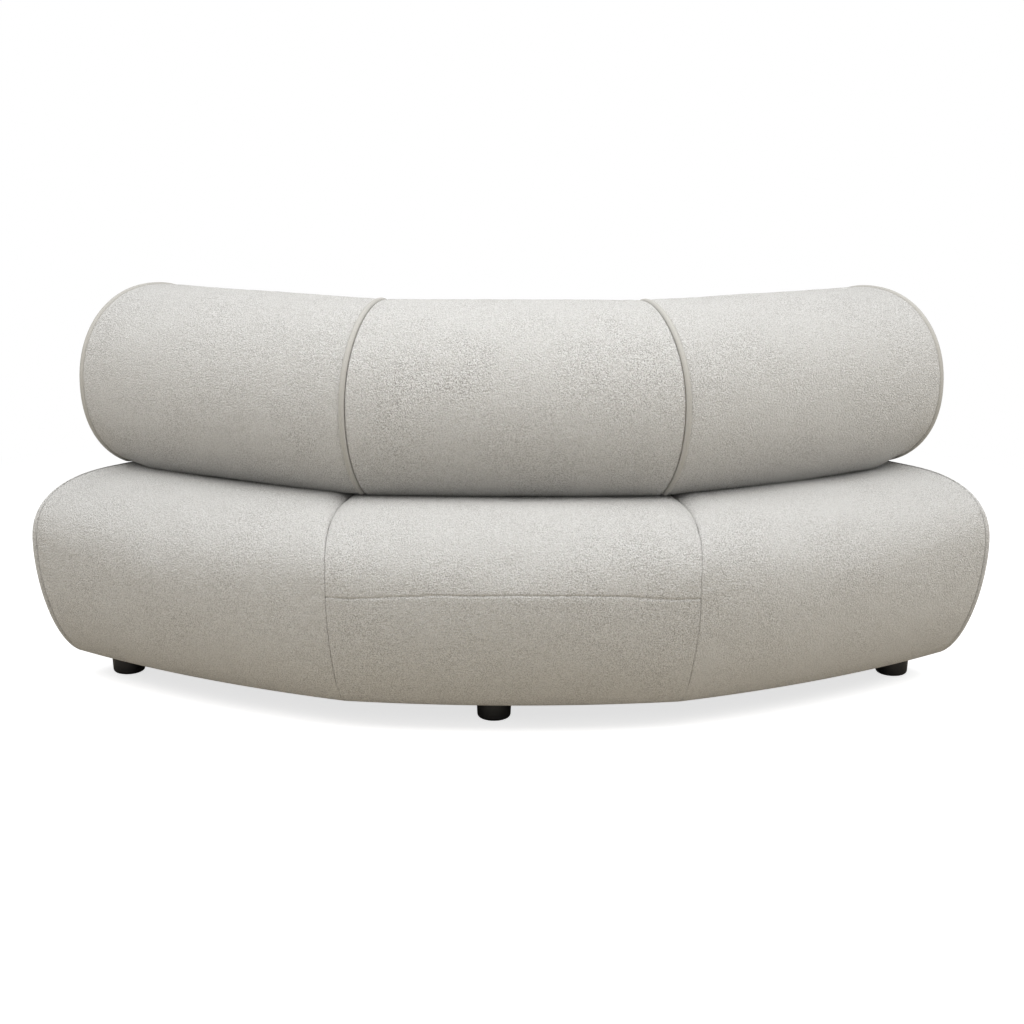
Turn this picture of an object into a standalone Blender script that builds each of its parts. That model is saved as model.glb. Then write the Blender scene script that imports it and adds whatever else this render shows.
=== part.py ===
"""Curved three-section sofa: a crescent seat on round feet, and a three-roll backrest on steel posts.

It is drawn about the upright axis that the crescent curves round, then moved so that the origin lies
on the floor under the middle of the sofa. +X is the sitter's left, +Y the convex rear, +Z up. Lengths
are in metres.
"""

import math

import bmesh
import bpy
from mathutils import Matrix, Vector

# Plan of the crescent: radii are read along a seam, from the axis that the sofa curves round
SECTION_ANGLE = math.radians(27.0)
SEAT_REAR_RADIUS = 1.420
SEAT_DEPTH = 0.980
REAR_BOW = 0.026
FRONT_BOW = 0.006
ROLL_SETBACK = 0.313
ROLL_BOW = 0.011

# Seat cushion section, from its underside
SEAT_BODY_HEIGHT = 0.374
WIDEST_HEIGHT = 0.247
REAR_SHOULDER = 0.201
REAR_TUCK = 0.112
FRONT_SHOULDER = 0.190
FRONT_TUCK = 0.085
SHOULDER_POWER = 2.34
TUCK_POWER = 1.79
SEAT_CROWN = 0.010
SEAT_DRAW = 0.012
SEAT_END_DRAW = 0.004
DRAW_FADE = 0.060
PANEL_SEAM_DEPTH = 0.003
PANEL_SEAM_WIDTH = 0.012
TURN_UNDER = 0.010

# Backrest roll section
ROLL_HALF_WIDTH = 0.179
ROLL_HALF_HEIGHT = 0.179
ROLL_POWER = 2.14
ROLL_FLATTEN = 0.0145
ROLL_DRAW = 0.010
WELT_RADIUS = 0.0055

# Upholstery layers
SEAM_WIDTH = 0.035
COVER_THICKNESS = 0.004
PANEL_RIM = 0.004
PANEL_DOME = 0.010
DUST_COVER_THICKNESS = 0.0015

# Timber frame
BOARD_THICKNESS = 0.018
BOARD_MARGIN = 0.006
RAIL_THICKNESS = 0.018
RAIL_HEIGHT = 0.168
RIB_THICKNESS = 0.018
END_FOAM = 0.022
FORMER_THICKNESS = 0.018
SPINE_WIDTH = 0.090
SPINE_HEIGHT = 0.120

# Seat webbing
WEBBING_THICKNESS = 0.0025
STRAP_WIDTH = 0.040
STRAP_PITCH = 0.110
STRAP_COLUMNS = 3

# Steel posts and their sockets
POST_RADIUS = 0.016
TUBE_WALL = 0.002
FLANGE_RADIUS = 0.035
FLANGE_THICKNESS = 0.003
POST_STOP = 0.025
POST_HOLE_CLEARANCE = 0.003
SLIDE_CLEARANCE = 0.0004

# Feet, with a threaded stud that screws into a tee nut in the board
FOOT_HEIGHT = 0.049
FOOT_TOP_RADIUS = 0.0335
FOOT_BOTTOM_RADIUS = 0.0315
FOOT_EDGE = 0.006
FOOT_HOLE_CLEARANCE = 0.001
CENTRE_FOOT_OFFSET = 0.034
STUD_RADIUS = 0.004
STUD_PROUD = 0.004
TEE_NUT_FLANGE_RADIUS = 0.012
TEE_NUT_FLANGE_THICKNESS = 0.0015
TEE_NUT_WALL = 0.0012
TEE_NUT_BARREL = 0.012
FOOT_MARGIN = 0.001

GAP = 0.0003
WELD = 1e-6

# Facets
SHARP_ANGLE = math.radians(50.0)
QUARTER_STEPS = 5
TOP_STEPS = 3
ROLL_STEPS = 24
TURN_STEPS = 16
WELT_BEVEL_STEPS = 2
SEAM_STEP = 0.28
COVER_SHARES = (-0.5, 0.0, 0.5)
PLAN_SHARES = (-1.0, -0.5, 0.0, 0.5)
DOME_RINGS = (1.0, 0.94, 0.80, 0.50)

# Worked out from the sizes above
SECTIONS = {"left": 1, "centre": 0, "right": -1}
SEAMS = {"left_end": 1.5, "left_seam": 0.5, "right_seam": -0.5, "right_end": -1.5}
END_TURN = max(SEAMS.values())
HALF_ANGLE = SECTION_ANGLE / 2
SQUARE = math.cos(HALF_ANGLE)
SLANT = math.sin(HALF_ANGLE)
SKEW = math.tan(HALF_ANGLE)
SEAT_FRONT_RADIUS = SEAT_REAR_RADIUS - SEAT_DEPTH
ROLL_LINE = SEAT_REAR_RADIUS - ROLL_SETBACK
BOARD_BOTTOM = FOOT_HEIGHT
BOARD_TOP = BOARD_BOTTOM + BOARD_THICKNESS
SEAT_BOTTOM = BOARD_BOTTOM - COVER_THICKNESS - GAP
SEAT_TOP = SEAT_BOTTOM + SEAT_BODY_HEIGHT
SEAT_WIDEST = SEAT_BOTTOM + WIDEST_HEIGHT
RAIL_BOTTOM = BOARD_TOP + GAP
RAIL_TOP = RAIL_BOTTOM + RAIL_HEIGHT
WEBBING_BOTTOM = RAIL_TOP + GAP
DECK = WEBBING_BOTTOM + WEBBING_THICKNESS + GAP
BOARD_REAR = SEAT_REAR_RADIUS - REAR_TUCK - BOARD_MARGIN
BOARD_FRONT = SEAT_FRONT_RADIUS + FRONT_TUCK + BOARD_MARGIN
ROLL_BOTTOM = SEAT_TOP + GAP
ROLL_CENTRE = ROLL_BOTTOM + ROLL_HALF_HEIGHT - ROLL_FLATTEN
ROLL_OUT = ROLL_LINE * SQUARE + ROLL_BOW
SPINE_BOTTOM = ROLL_CENTRE - SPINE_HEIGHT / 2
SPINE_TOP = ROLL_CENTRE + SPINE_HEIGHT / 2
POST_TOP = SPINE_TOP - POST_STOP
SOCKET_BORE = POST_RADIUS + SLIDE_CLEARANCE
SOCKET_RADIUS = SOCKET_BORE + TUBE_WALL
SKIN = COVER_THICKNESS + GAP


def clear_scene():
    for thing in list(bpy.data.objects):
        bpy.data.objects.remove(thing, do_unlink=True)


def new_collection(name):
    made = bpy.data.collections.new(name)
    bpy.context.scene.collection.children.link(made)
    return made


def surface(name, colour, roughness, metallic=0.0):
    """A plain finish: base colour, roughness and whether it is metal."""
    made = bpy.data.materials.new(name)
    made.use_nodes = True
    shader = made.node_tree.nodes["Principled BSDF"]
    shader.inputs["Base Color"].default_value = (*colour, 1.0)
    shader.inputs["Roughness"].default_value = roughness
    shader.inputs["Metallic"].default_value = metallic
    return made


clear_scene()
SOFA = new_collection("curved_sofa")
CUTTERS = new_collection("curved_sofa_cutters")
FABRIC = surface("greige_boucle", (0.55, 0.53, 0.49), 0.95)
PIPING = surface("greige_piping", (0.58, 0.56, 0.52), 0.9)
FOAM = surface("cream_foam", (0.80, 0.74, 0.58), 0.95)
PLYWOOD = surface("birch_plywood", (0.60, 0.44, 0.27), 0.7)
WEBBING = surface("brown_webbing", (0.12, 0.09, 0.07), 0.85)
STEEL = surface("zinc_steel", (0.62, 0.63, 0.64), 0.35, 1.0)
PLASTIC = surface("black_plastic", (0.015, 0.015, 0.016), 0.45)
LINING = surface("black_nonwoven", (0.03, 0.03, 0.03), 0.95)
SEAT_BODY = bpy.data.objects.new("seat_base", None)
BACK_BODY = bpy.data.objects.new("backrest", None)
SOFA.objects.link(SEAT_BODY)
SOFA.objects.link(BACK_BODY)


def add_piece(name, mesh, finish, body, smooth=False):
    """A node of the sofa, carried by one of its two bodies."""
    piece = bpy.data.objects.new(name, mesh)
    mesh.materials.append(finish)
    SOFA.objects.link(piece)
    piece.parent = body
    if smooth:
        mesh.shade_smooth()
        mesh.set_sharp_from_angle(angle=SHARP_ANGLE)
    return piece


def add_cutter(name, mesh):
    cutter = bpy.data.objects.new(name, mesh)
    CUTTERS.objects.link(cutter)
    cutter.parent = SEAT_BODY
    cutter.hide_render = True
    cutter.display_type = "WIRE"
    return cutter


def cut(piece, cutter):
    hole = piece.modifiers.new(cutter.name, "BOOLEAN")
    hole.operation = "DIFFERENCE"
    hole.solver = "EXACT"
    hole.object = cutter


def in_section(section, out, along, height):
    """A point of one straight section: out from the axis, along to the left, and up."""
    turn = SECTIONS[section] * SECTION_ANGLE
    x = out * math.sin(turn) + along * math.cos(turn)
    y = out * math.cos(turn) - along * math.sin(turn)
    return Vector((x, y, height))


def on_seam(angle, radius, height):
    return Vector((radius * math.sin(angle), radius * math.cos(angle), height))


def offset(line, distances, closed):
    """Moves each point of a line in (radius, height) to its right, by its own distance."""
    count = len(line)
    moved = []
    for index, (here, distance) in enumerate(zip(line, distances)):
        before = line[index - 1] if closed or index > 0 else None
        after = line[(index + 1) % count] if closed or index < count - 1 else None
        normals = []
        for start, end in ((before, here), (here, after)):
            if start is not None and end is not None:
                run = (Vector(end) - Vector(start)).normalized()
                normals.append(Vector((run.y, -run.x)))
        both = sum(normals, Vector((0.0, 0.0)))
        mitre = both * (len(normals) / both.length_squared)
        moved.append(tuple(Vector(here) + mitre * distance))
    return moved


def quarter(reach, rise, power):
    """A quarter of a superellipse, from its widest point up to its top."""
    points = []
    for step in range(QUARTER_STEPS + 1):
        turn = math.radians(90.0) * step / QUARTER_STEPS
        share = max(math.cos(turn), 0.0)
        points.append((reach * share ** (2 / power), rise * math.sin(turn) ** (2 / power)))
    return points


def seat_line(section):
    """The seat's outer surface in section: under the rear edge, up, over the top and under the front edge."""
    rear_low = SEAT_REAR_RADIUS - REAR_TUCK
    rear_high = SEAT_REAR_RADIUS - REAR_SHOULDER
    front_low = SEAT_FRONT_RADIUS + FRONT_TUCK
    front_high = SEAT_FRONT_RADIUS + FRONT_SHOULDER
    shoulder_rise = SEAT_TOP - SEAT_WIDEST
    line = [(rear_low - TURN_UNDER, SEAT_BOTTOM)]
    for reach, drop in reversed(quarter(REAR_TUCK, WIDEST_HEIGHT, TUCK_POWER)):
        line.append((rear_low + reach, SEAT_WIDEST - drop))
    if section == "centre":
        widest = line.pop()
        line.append((widest[0], widest[1] - PANEL_SEAM_WIDTH))
        line.append((widest[0] - PANEL_SEAM_DEPTH, widest[1]))
        line.append((widest[0], widest[1] + PANEL_SEAM_WIDTH))
    for reach, rise in quarter(REAR_SHOULDER, shoulder_rise, SHOULDER_POWER)[1:]:
        line.append((rear_high + reach, SEAT_WIDEST + rise))
    for step in range(1, TOP_STEPS + 1):
        line.append((rear_high + (front_high - rear_high) * step / (TOP_STEPS + 1), SEAT_TOP))
    for reach, rise in reversed(quarter(FRONT_SHOULDER, shoulder_rise, SHOULDER_POWER)):
        line.append((front_high - reach, SEAT_WIDEST + rise))
    for reach, drop in quarter(FRONT_TUCK, WIDEST_HEIGHT, TUCK_POWER)[1:]:
        line.append((front_low - reach, SEAT_WIDEST - drop))
    line.append((front_low + TURN_UNDER, SEAT_BOTTOM))
    return line[::-1]


def roll_line():
    """The roll's outer surface in section: a rounded square, flat where it lies on the seat."""
    line = []
    for step in range(ROLL_STEPS):
        turn = math.radians(360.0) * (step + 0.5) / ROLL_STEPS
        across = math.copysign(abs(math.cos(turn)) ** (2 / ROLL_POWER), math.cos(turn))
        up = math.copysign(abs(math.sin(turn)) ** (2 / ROLL_POWER), math.sin(turn))
        height = ROLL_CENTRE + ROLL_HALF_HEIGHT * up
        line.append((ROLL_LINE + ROLL_HALF_WIDTH * across, max(height, ROLL_BOTTOM)))
    return line[::-1]


def groove(distance, depth):
    """How far the fabric is drawn in at a distance from a seam, in the two flats that stand for its curve."""
    bend = SEAM_WIDTH * SEAM_STEP
    bend_depth = depth * (1 - math.sqrt(1 - (1 - SEAM_STEP) ** 2))
    if distance < bend:
        return depth + (bend_depth - depth) * distance / bend
    return bend_depth * max(SEAM_WIDTH - distance, 0.0) / (SEAM_WIDTH - bend)


def cover_stations(trim):
    """Places along a section, each as a share of its half length and the distance kept clear of the seam."""
    low = [(-1.0, distance) for distance in (trim, SEAM_WIDTH * SEAM_STEP, SEAM_WIDTH)]
    middle = [(share, SEAM_WIDTH) for share in COVER_SHARES]
    high = [(1.0, distance) for distance in (SEAM_WIDTH, SEAM_WIDTH * SEAM_STEP, trim)]
    return low + middle + high


def foam_stations(low_trim, high_trim):
    """The places along a section for the foam under its cover, with one flat to each groove."""
    middle = [(share, SEAM_WIDTH) for share in (-1.0, *COVER_SHARES, 1.0)]
    return [(-1.0, low_trim), *middle, (1.0, high_trim)]


def seat_point(section, radius, height, place):
    share, distance = place
    half_length = radius * SLANT
    along = share * (half_length - distance)
    swell = 1 - (along / half_length) ** 2
    forward = (SEAT_REAR_RADIUS - radius) / SEAT_DEPTH
    bow = REAR_BOW - (REAR_BOW + FRONT_BOW) * forward
    sitting = (radius - SEAT_FRONT_RADIUS) / (ROLL_LINE - ROLL_HALF_WIDTH - SEAT_FRONT_RADIUS)
    crown = 0.0
    if 0.0 < sitting < 1.0 and height > SEAT_WIDEST:
        crown = SEAT_CROWN * math.sin(math.pi * sitting) * swell
    return in_section(section, radius * SQUARE + bow * swell, along, height + crown)


def drawn_in(line, pull):
    """The seat's section pulled in by its seam, fading out towards the underside."""
    pulls = [pull * min(max(height - SEAT_BOTTOM, 0.0) / DRAW_FADE, 1.0) for radius, height in line]
    return offset(line, pulls, closed=False)


def seat_ring(section, place, depth):
    """The seat section at one place, a depth below its outer surface."""
    at_end = place[0] * SECTIONS[section] == 1.0
    line = drawn_in(seat_line(section), groove(place[1], SEAT_END_DRAW if at_end else SEAT_DRAW))
    line = offset(line, [depth] * len(line), closed=False)
    return [seat_point(section, radius, height, place) for radius, height in line]


def roll_section_line(distance, depth):
    line = roll_line()
    return offset(line, [groove(distance, ROLL_DRAW) + depth] * len(line), closed=True)


def roll_ring(section, place, depth):
    share, distance = place
    ring = []
    for radius, height in roll_section_line(distance, depth):
        half_length = radius * SLANT
        along = share * (half_length - distance)
        swell = 1 - (along / half_length) ** 2
        ring.append(in_section(section, radius * SQUARE + ROLL_BOW * swell, along, height))
    return ring


def mesh_from(name, build):
    """A mesh made by a function that fills a bmesh, with its faces turned outward."""
    work = bmesh.new()
    build(work)
    bmesh.ops.recalc_face_normals(work, faces=work.faces)
    mesh = bpy.data.meshes.new(name)
    work.to_mesh(mesh)
    work.free()
    return mesh


def skin(work, rows, closed):
    """A surface over rows of points, split along like diagonals so that nested layers stay parallel."""
    count = len(rows[0])
    for first, second in zip(rows, rows[1:]):
        for index in range(count if closed else count - 1):
            after = (index + 1) % count
            work.faces.new((first[index], first[after], second[after]))
            work.faces.new((first[index], second[after], second[index]))


def loft(name, rings):
    """A solid through rings of equal counts, with flat ends."""

    def build(work):
        rows = [[work.verts.new(point) for point in ring] for ring in rings]
        skin(work, rows, closed=True)
        work.faces.new(rows[0])
        work.faces.new(rows[-1])

    return mesh_from(name, build)


def sleeve(name, outer_rings, inner_rings, closed):
    """A fabric skin between outer and inner rings. An open one is a gutter, a closed one a tube."""

    def build(work):
        outer = [[work.verts.new(point) for point in ring] for ring in outer_rings]
        inner = [[work.verts.new(point) for point in ring] for ring in inner_rings]
        skin(work, outer, closed)
        skin(work, inner, closed)
        for row in (0, -1):
            skin(work, [outer[row], inner[row]], closed)
        if closed:
            return
        for edge in (0, -1):
            skin(work, [[row[edge] for row in outer], [row[edge] for row in inner]], closed=False)

    return mesh_from(name, build)


def plate(name, outline, holes, bottom, thickness):
    """A flat board from an outline and any holes, as a filled curve made solid."""
    curve = bpy.data.curves.new(name, "CURVE")
    curve.dimensions = "2D"
    curve.fill_mode = "BOTH"
    curve.extrude = thickness / 2
    for loop in (outline, *holes):
        spline = curve.splines.new("POLY")
        spline.points.add(len(loop) - 1)
        spline.use_cyclic_u = True
        for point, (x, y) in zip(spline.points, loop):
            point.co = (x, y, 0.0, 1.0)
    return curve_mesh(curve, Matrix.Translation((0.0, 0.0, bottom + thickness / 2)))


def curve_mesh(curve, placed):
    """A curve's solid as a mesh, with its loose caps welded."""
    guide = bpy.data.objects.new(curve.name, curve)
    CUTTERS.objects.link(guide)
    graph = bpy.context.evaluated_depsgraph_get()
    mesh = bpy.data.meshes.new_from_object(guide.evaluated_get(graph))
    bpy.data.objects.remove(guide, do_unlink=True)
    mesh.materials.clear()

    def build(work):
        work.from_mesh(mesh)
        bmesh.ops.remove_doubles(work, verts=work.verts, dist=WELD)
        bmesh.ops.transform(work, matrix=placed, verts=work.verts)

    return mesh_from(curve.name, build)


def circle(centre, radius):
    turns = [math.tau * step / TURN_STEPS for step in range(TURN_STEPS)]
    return [(centre.x + radius * math.cos(turn), centre.y + radius * math.sin(turn)) for turn in turns]


def turned(name, profile, centre, closed):
    """A lathe-turned mesh about an upright line, from a profile that runs down its outer side."""
    mesh = bpy.data.meshes.new(name)
    count = len(profile)
    edges = [(index, index + 1) for index in range(count - 1)]
    if closed:
        edges.append((count - 1, 0))
    mesh.from_pydata([(radius, 0.0, height) for radius, height in profile], edges, [])
    lathe = bpy.data.objects.new(name, mesh)
    CUTTERS.objects.link(lathe)
    screw = lathe.modifiers.new("turn", "SCREW")
    screw.steps = TURN_STEPS
    screw.render_steps = TURN_STEPS
    screw.use_merge_vertices = True
    screw.merge_threshold = WELD
    graph = bpy.context.evaluated_depsgraph_get()
    solid = bpy.data.meshes.new_from_object(lathe.evaluated_get(graph))
    bpy.data.objects.remove(lathe, do_unlink=True)
    solid.transform(Matrix.Translation((centre.x, centre.y, 0.0)))
    solid.name = name
    return solid


def seam_edge(out, distance):
    """How far along a section the line lies that keeps a distance from the seam."""
    return out * SKEW - distance / SQUARE


def flat(section, out, along):
    return tuple(in_section(section, out, along, 0.0).xy)


def end_trims(section, seam_trim, end_trim):
    """The distances that a piece keeps from its section's right and left seam planes."""
    right = end_trim if section == "right" else seam_trim
    left = end_trim if section == "left" else seam_trim
    return right, left


def straight_outline(section, near, far, trims):
    """The plan of a straight piece between two distances out, mitred to its section's seams."""
    right, left = trims
    corners = [(near, -seam_edge(near, right)), (far, -seam_edge(far, right))]
    corners += [(far, seam_edge(far, left)), (near, seam_edge(near, left))]
    return [flat(section, out, along) for out, along in corners]


def crescent_outline(rear, front, end_trim, grow=0.0):
    """The plan of a board under the whole seat, bowed like the cover's edge and kept short of both ends."""
    edges = []
    for radius, bow in ((rear + grow, REAR_BOW), (front - grow, -FRONT_BOW)):
        edge = []
        for section in reversed(SECTIONS):
            half_length = radius * SLANT
            shares = PLAN_SHARES + ((1.0,) if section == "left" else ())
            for share in shares:
                along = share * half_length
                if section == "right" and share == -1.0:
                    along += (end_trim - grow) / SQUARE
                if section == "left" and share == 1.0:
                    along -= (end_trim - grow) / SQUARE
                edge.append(flat(section, radius * SQUARE + bow * (1 - share * share), along))
        edges.append(edge)
    return edges[0] + edges[1][::-1]


def make_feet():
    """Moulded black feet: three under the rear edge and two under the front, with their tee nuts."""
    past_rail = RAIL_THICKNESS + TEE_NUT_FLANGE_RADIUS
    past_cover = TURN_UNDER - BOARD_MARGIN + FOOT_TOP_RADIUS
    inset = max(past_rail, past_cover) + FOOT_MARGIN
    end_inset = END_FOAM + RIB_THICKNESS + TEE_NUT_FLANGE_RADIUS + FOOT_MARGIN
    rear = BOARD_REAR * SQUARE - inset
    front = BOARD_FRONT * SQUARE + inset
    # The edge bows out past the middle foot, so that this one can stand nearer the rail
    bow = REAR_BOW * (1 - CENTRE_FOOT_OFFSET / seam_edge(rear, 0.0))
    middle = BOARD_REAR * SQUARE - max(past_rail, past_cover - bow) - FOOT_MARGIN
    spots = {"rear_centre": in_section("centre", middle, CENTRE_FOOT_OFFSET, 0.0)}
    for section, side in (("left", 1), ("right", -1)):
        spots["rear_" + section] = in_section(section, rear, side * seam_edge(rear, end_inset), 0.0)
        spots["front_" + section] = in_section(section, front, side * seam_edge(front, end_inset), 0.0)
    top = BOARD_BOTTOM - GAP
    stud_top = BOARD_TOP + TEE_NUT_FLANGE_THICKNESS + STUD_PROUD
    eased = FOOT_EDGE * (1 - math.sqrt(0.5))
    foot = [(0.0, stud_top), (STUD_RADIUS, stud_top), (STUD_RADIUS, top), (FOOT_TOP_RADIUS - eased, top)]
    foot += [(FOOT_TOP_RADIUS, top - eased), (FOOT_BOTTOM_RADIUS, FOOT_EDGE)]
    foot += [(FOOT_BOTTOM_RADIUS - eased, eased), (FOOT_BOTTOM_RADIUS - FOOT_EDGE, 0.0), (0.0, 0.0)]
    bore = STUD_RADIUS + GAP
    barrel = bore + TEE_NUT_WALL
    seat = BOARD_TOP + GAP
    flange_top = seat + TEE_NUT_FLANGE_THICKNESS
    barrel_end = seat - TEE_NUT_BARREL
    nut = [(TEE_NUT_FLANGE_RADIUS, flange_top), (TEE_NUT_FLANGE_RADIUS, seat), (barrel, seat)]
    nut += [(barrel, barrel_end), (bore, barrel_end), (bore, flange_top)]
    for name, spot in spots.items():
        add_piece("foot_" + name, turned("foot_" + name, foot, spot, False), PLASTIC, SEAT_BODY, smooth=True)
        add_piece("tee_nut_" + name, turned("tee_nut_" + name, nut, spot, True), STEEL, SEAT_BODY)
    return spots, barrel


def make_base(spots, barrel):
    """The plywood board that everything stands on, and the black lining stapled under it."""
    holes = [circle(spot, barrel + 2 * GAP) for spot in spots.values()]
    outline = crescent_outline(BOARD_REAR, BOARD_FRONT, END_FOAM)
    board = plate("base_board", outline, holes, BOARD_BOTTOM, BOARD_THICKNESS)
    add_piece("base_board", board, PLYWOOD, SEAT_BODY)
    holes = [circle(spot, FOOT_TOP_RADIUS + FOOT_HOLE_CLEARANCE) for spot in spots.values()]
    outline = crescent_outline(BOARD_REAR, BOARD_FRONT, BOARD_MARGIN)
    bottom = SEAT_BOTTOM - GAP - DUST_COVER_THICKNESS
    lining = plate("dust_cover", outline, holes, bottom, DUST_COVER_THICKNESS)
    add_piece("dust_cover", lining, LINING, SEAT_BODY)


def inward_of(turns):
    """Which way along a seam's plane leads into the sofa: none for a seam between two sections."""
    if abs(turns) < END_TURN:
        return 0
    return -1 if turns > 0 else 1


def make_seat_frame():
    """Upright plywood: a rib on each seam and near each end, and straight rails between the ribs."""
    for name, turns in SEAMS.items():
        angle = turns * SECTION_ANGLE
        inward = inward_of(turns)
        aside = abs(inward) * (END_FOAM + RIB_THICKNESS / 2)
        near = BOARD_FRONT + GAP
        far = BOARD_REAR - (aside + RIB_THICKNESS / 2) * SKEW - GAP
        along = Vector((math.cos(angle), -math.sin(angle)))
        outward = Vector((math.sin(angle), math.cos(angle)))
        corners = []
        for radius, across in ((near, -1), (near, 1), (far, 1), (far, -1)):
            shift = inward * aside + across * RIB_THICKNESS / 2
            corners.append(tuple(outward * radius + along * shift))
        board = plate("seat_rib_" + name, corners, [], RAIL_BOTTOM, RAIL_HEIGHT)
        add_piece("seat_rib_" + name, board, PLYWOOD, SEAT_BODY)
    faces = {"rear_rail_": BOARD_REAR * SQUARE - RAIL_THICKNESS, "front_rail_": BOARD_FRONT * SQUARE}
    for section in SECTIONS:
        trims = end_trims(section, RIB_THICKNESS / 2 + GAP, END_FOAM + RIB_THICKNESS + GAP)
        for prefix, near in faces.items():
            outline = straight_outline(section, near, near + RAIL_THICKNESS, trims)
            rail = plate(prefix + section, outline, [], RAIL_BOTTOM, RAIL_HEIGHT)
            add_piece(prefix + section, rail, PLYWOOD, SEAT_BODY)


def strap_rows(near, far):
    """Where the cross straps lie, counted both ways from the post so that it stands clear in a gap."""
    low = near + RAIL_THICKNESS + STRAP_WIDTH
    high = far - RAIL_THICKNESS - STRAP_WIDTH
    first = math.ceil((low - ROLL_OUT) / STRAP_PITCH - 0.5)
    last = math.floor((high - ROLL_OUT) / STRAP_PITCH - 0.5)
    return [ROLL_OUT + (row + 0.5) * STRAP_PITCH for row in range(first, last + 1)]


def make_webbing():
    """Elastic webbing over each bay, its crossed straps sewn into one mat and stapled to the frame."""
    near = BOARD_FRONT * SQUARE
    far = BOARD_REAR * SQUARE
    rows = strap_rows(near, far)
    starts = [near + RAIL_THICKNESS] + [row + STRAP_WIDTH / 2 for row in rows]
    ends = [row - STRAP_WIDTH / 2 for row in rows] + [far - RAIL_THICKNESS]
    for section in SECTIONS:
        trims = end_trims(section, GAP, END_FOAM)
        inner = end_trims(section, RIB_THICKNESS / 2, END_FOAM + RIB_THICKNESS)
        holes = []
        for low, high in zip(starts, ends):
            for column in range(STRAP_COLUMNS):
                corners = []
                for out, side in ((low, 0), (high, 0), (high, 1), (low, 1)):
                    line = column + side
                    along = out * SKEW * (2 * line / STRAP_COLUMNS - 1) + STRAP_WIDTH * (0.5 - side)
                    if line == 0:
                        along = -seam_edge(out, inner[0])
                    if line == STRAP_COLUMNS:
                        along = seam_edge(out, inner[1])
                    corners.append(flat(section, out, along))
                holes.append(corners)
        outline = straight_outline(section, near, far, trims)
        mat = plate("webbing_" + section, outline, holes, WEBBING_BOTTOM, WEBBING_THICKNESS)
        add_piece("webbing_" + section, mat, WEBBING, SEAT_BODY)


def make_posts():
    """A steel tube with a foot flange under the middle of each roll, screwed to the board."""
    bottom = BOARD_TOP + GAP
    bore = POST_RADIUS - TUBE_WALL
    flange_top = bottom + FLANGE_THICKNESS
    post = [(POST_RADIUS, POST_TOP), (POST_RADIUS, flange_top), (FLANGE_RADIUS, flange_top)]
    post += [(FLANGE_RADIUS, bottom), (bore, bottom), (bore, POST_TOP)]
    for section in SECTIONS:
        name = "backrest_post_" + section
        add_piece(name, turned(name, post, post_spot(section), True), STEEL, SEAT_BODY, smooth=True)


def post_spot(section):
    return in_section(section, ROLL_OUT, 0.0, 0.0)


def rod(name, section, radius, bottom, top):
    """An upright round cutter on a post's line."""
    profile = [(0.0, top), (radius, top), (radius, bottom), (0.0, bottom)]
    return add_cutter(name, turned(name, profile, post_spot(section), False))


def make_cushions():
    """Seat and backrest cushions, section by section, with a hole where the post comes through."""
    outline = crescent_outline(BOARD_REAR, BOARD_FRONT, END_FOAM, grow=GAP)
    hollow = plate("seat_frame_space", outline, [], -FOOT_HEIGHT, DECK + FOOT_HEIGHT)
    frame_space = add_cutter("seat_frame_space", hollow)
    hole_radius = POST_RADIUS + POST_HOLE_CLEARANCE
    for section in SECTIONS:
        post_hole = rod("post_hole_" + section, section, hole_radius, RAIL_BOTTOM, ROLL_CENTRE)
        make_seat_cushion(section, frame_space, post_hole)
        make_back_cushion(section, post_hole)


def make_seat_cushion(section, frame_space, post_hole):
    """One section of the seat: foam over the frame, under a gutter of fabric stapled below the board."""
    foam_places = foam_stations(GAP / 2, GAP / 2)
    foam = loft("seat_foam_" + section, [seat_ring(section, place, SKIN) for place in foam_places])
    foam = add_piece("seat_foam_" + section, foam, FOAM, SEAT_BODY, smooth=True)
    cut(foam, frame_space)
    cut(foam, post_hole)
    places = cover_stations(GAP / 2)
    outer = [seat_ring(section, place, 0.0) for place in places]
    inner = [seat_ring(section, place, COVER_THICKNESS) for place in places]
    cover = sleeve("seat_cover_" + section, outer, inner, closed=False)
    cover = add_piece("seat_cover_" + section, cover, FABRIC, SEAT_BODY, smooth=True)
    cut(cover, post_hole)


def former_trims(section):
    """How far the spine and foam of a roll stop short of its seams, to leave room for the formers."""
    return end_trims(section, FORMER_THICKNESS / 2 + GAP, FORMER_THICKNESS + 2 * GAP)


def make_back_cushion(section, post_hole):
    """One roll of the backrest: foam round the timber spine, in a tube of fabric."""
    near = ROLL_OUT - SPINE_WIDTH / 2 - GAP
    far = ROLL_OUT + SPINE_WIDTH / 2 + GAP
    outline = straight_outline(section, near, far, (-GAP, -GAP))
    bottom = SPINE_BOTTOM - GAP
    spine_space = plate("spine_space_" + section, outline, [], bottom, SPINE_HEIGHT + 2 * GAP)
    spine_space = add_cutter("spine_space_" + section, spine_space)
    socket_hole = rod("socket_hole_" + section, section, FLANGE_RADIUS + GAP, SEAT_TOP, ROLL_CENTRE)
    foam_places = foam_stations(*[trim / SQUARE for trim in former_trims(section)])
    foam = loft("back_foam_" + section, [roll_ring(section, place, SKIN) for place in foam_places])
    foam = add_piece("back_foam_" + section, foam, FOAM, BACK_BODY, smooth=True)
    cut(foam, spine_space)
    cut(foam, socket_hole)
    places = cover_stations(GAP / 2)
    outer = [roll_ring(section, place, 0.0) for place in places]
    inner = [roll_ring(section, place, COVER_THICKNESS) for place in places]
    cover = sleeve("back_cover_" + section, outer, inner, closed=True)
    cover = add_piece("back_cover_" + section, cover, FABRIC, BACK_BODY, smooth=True)
    cut(cover, post_hole)


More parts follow.
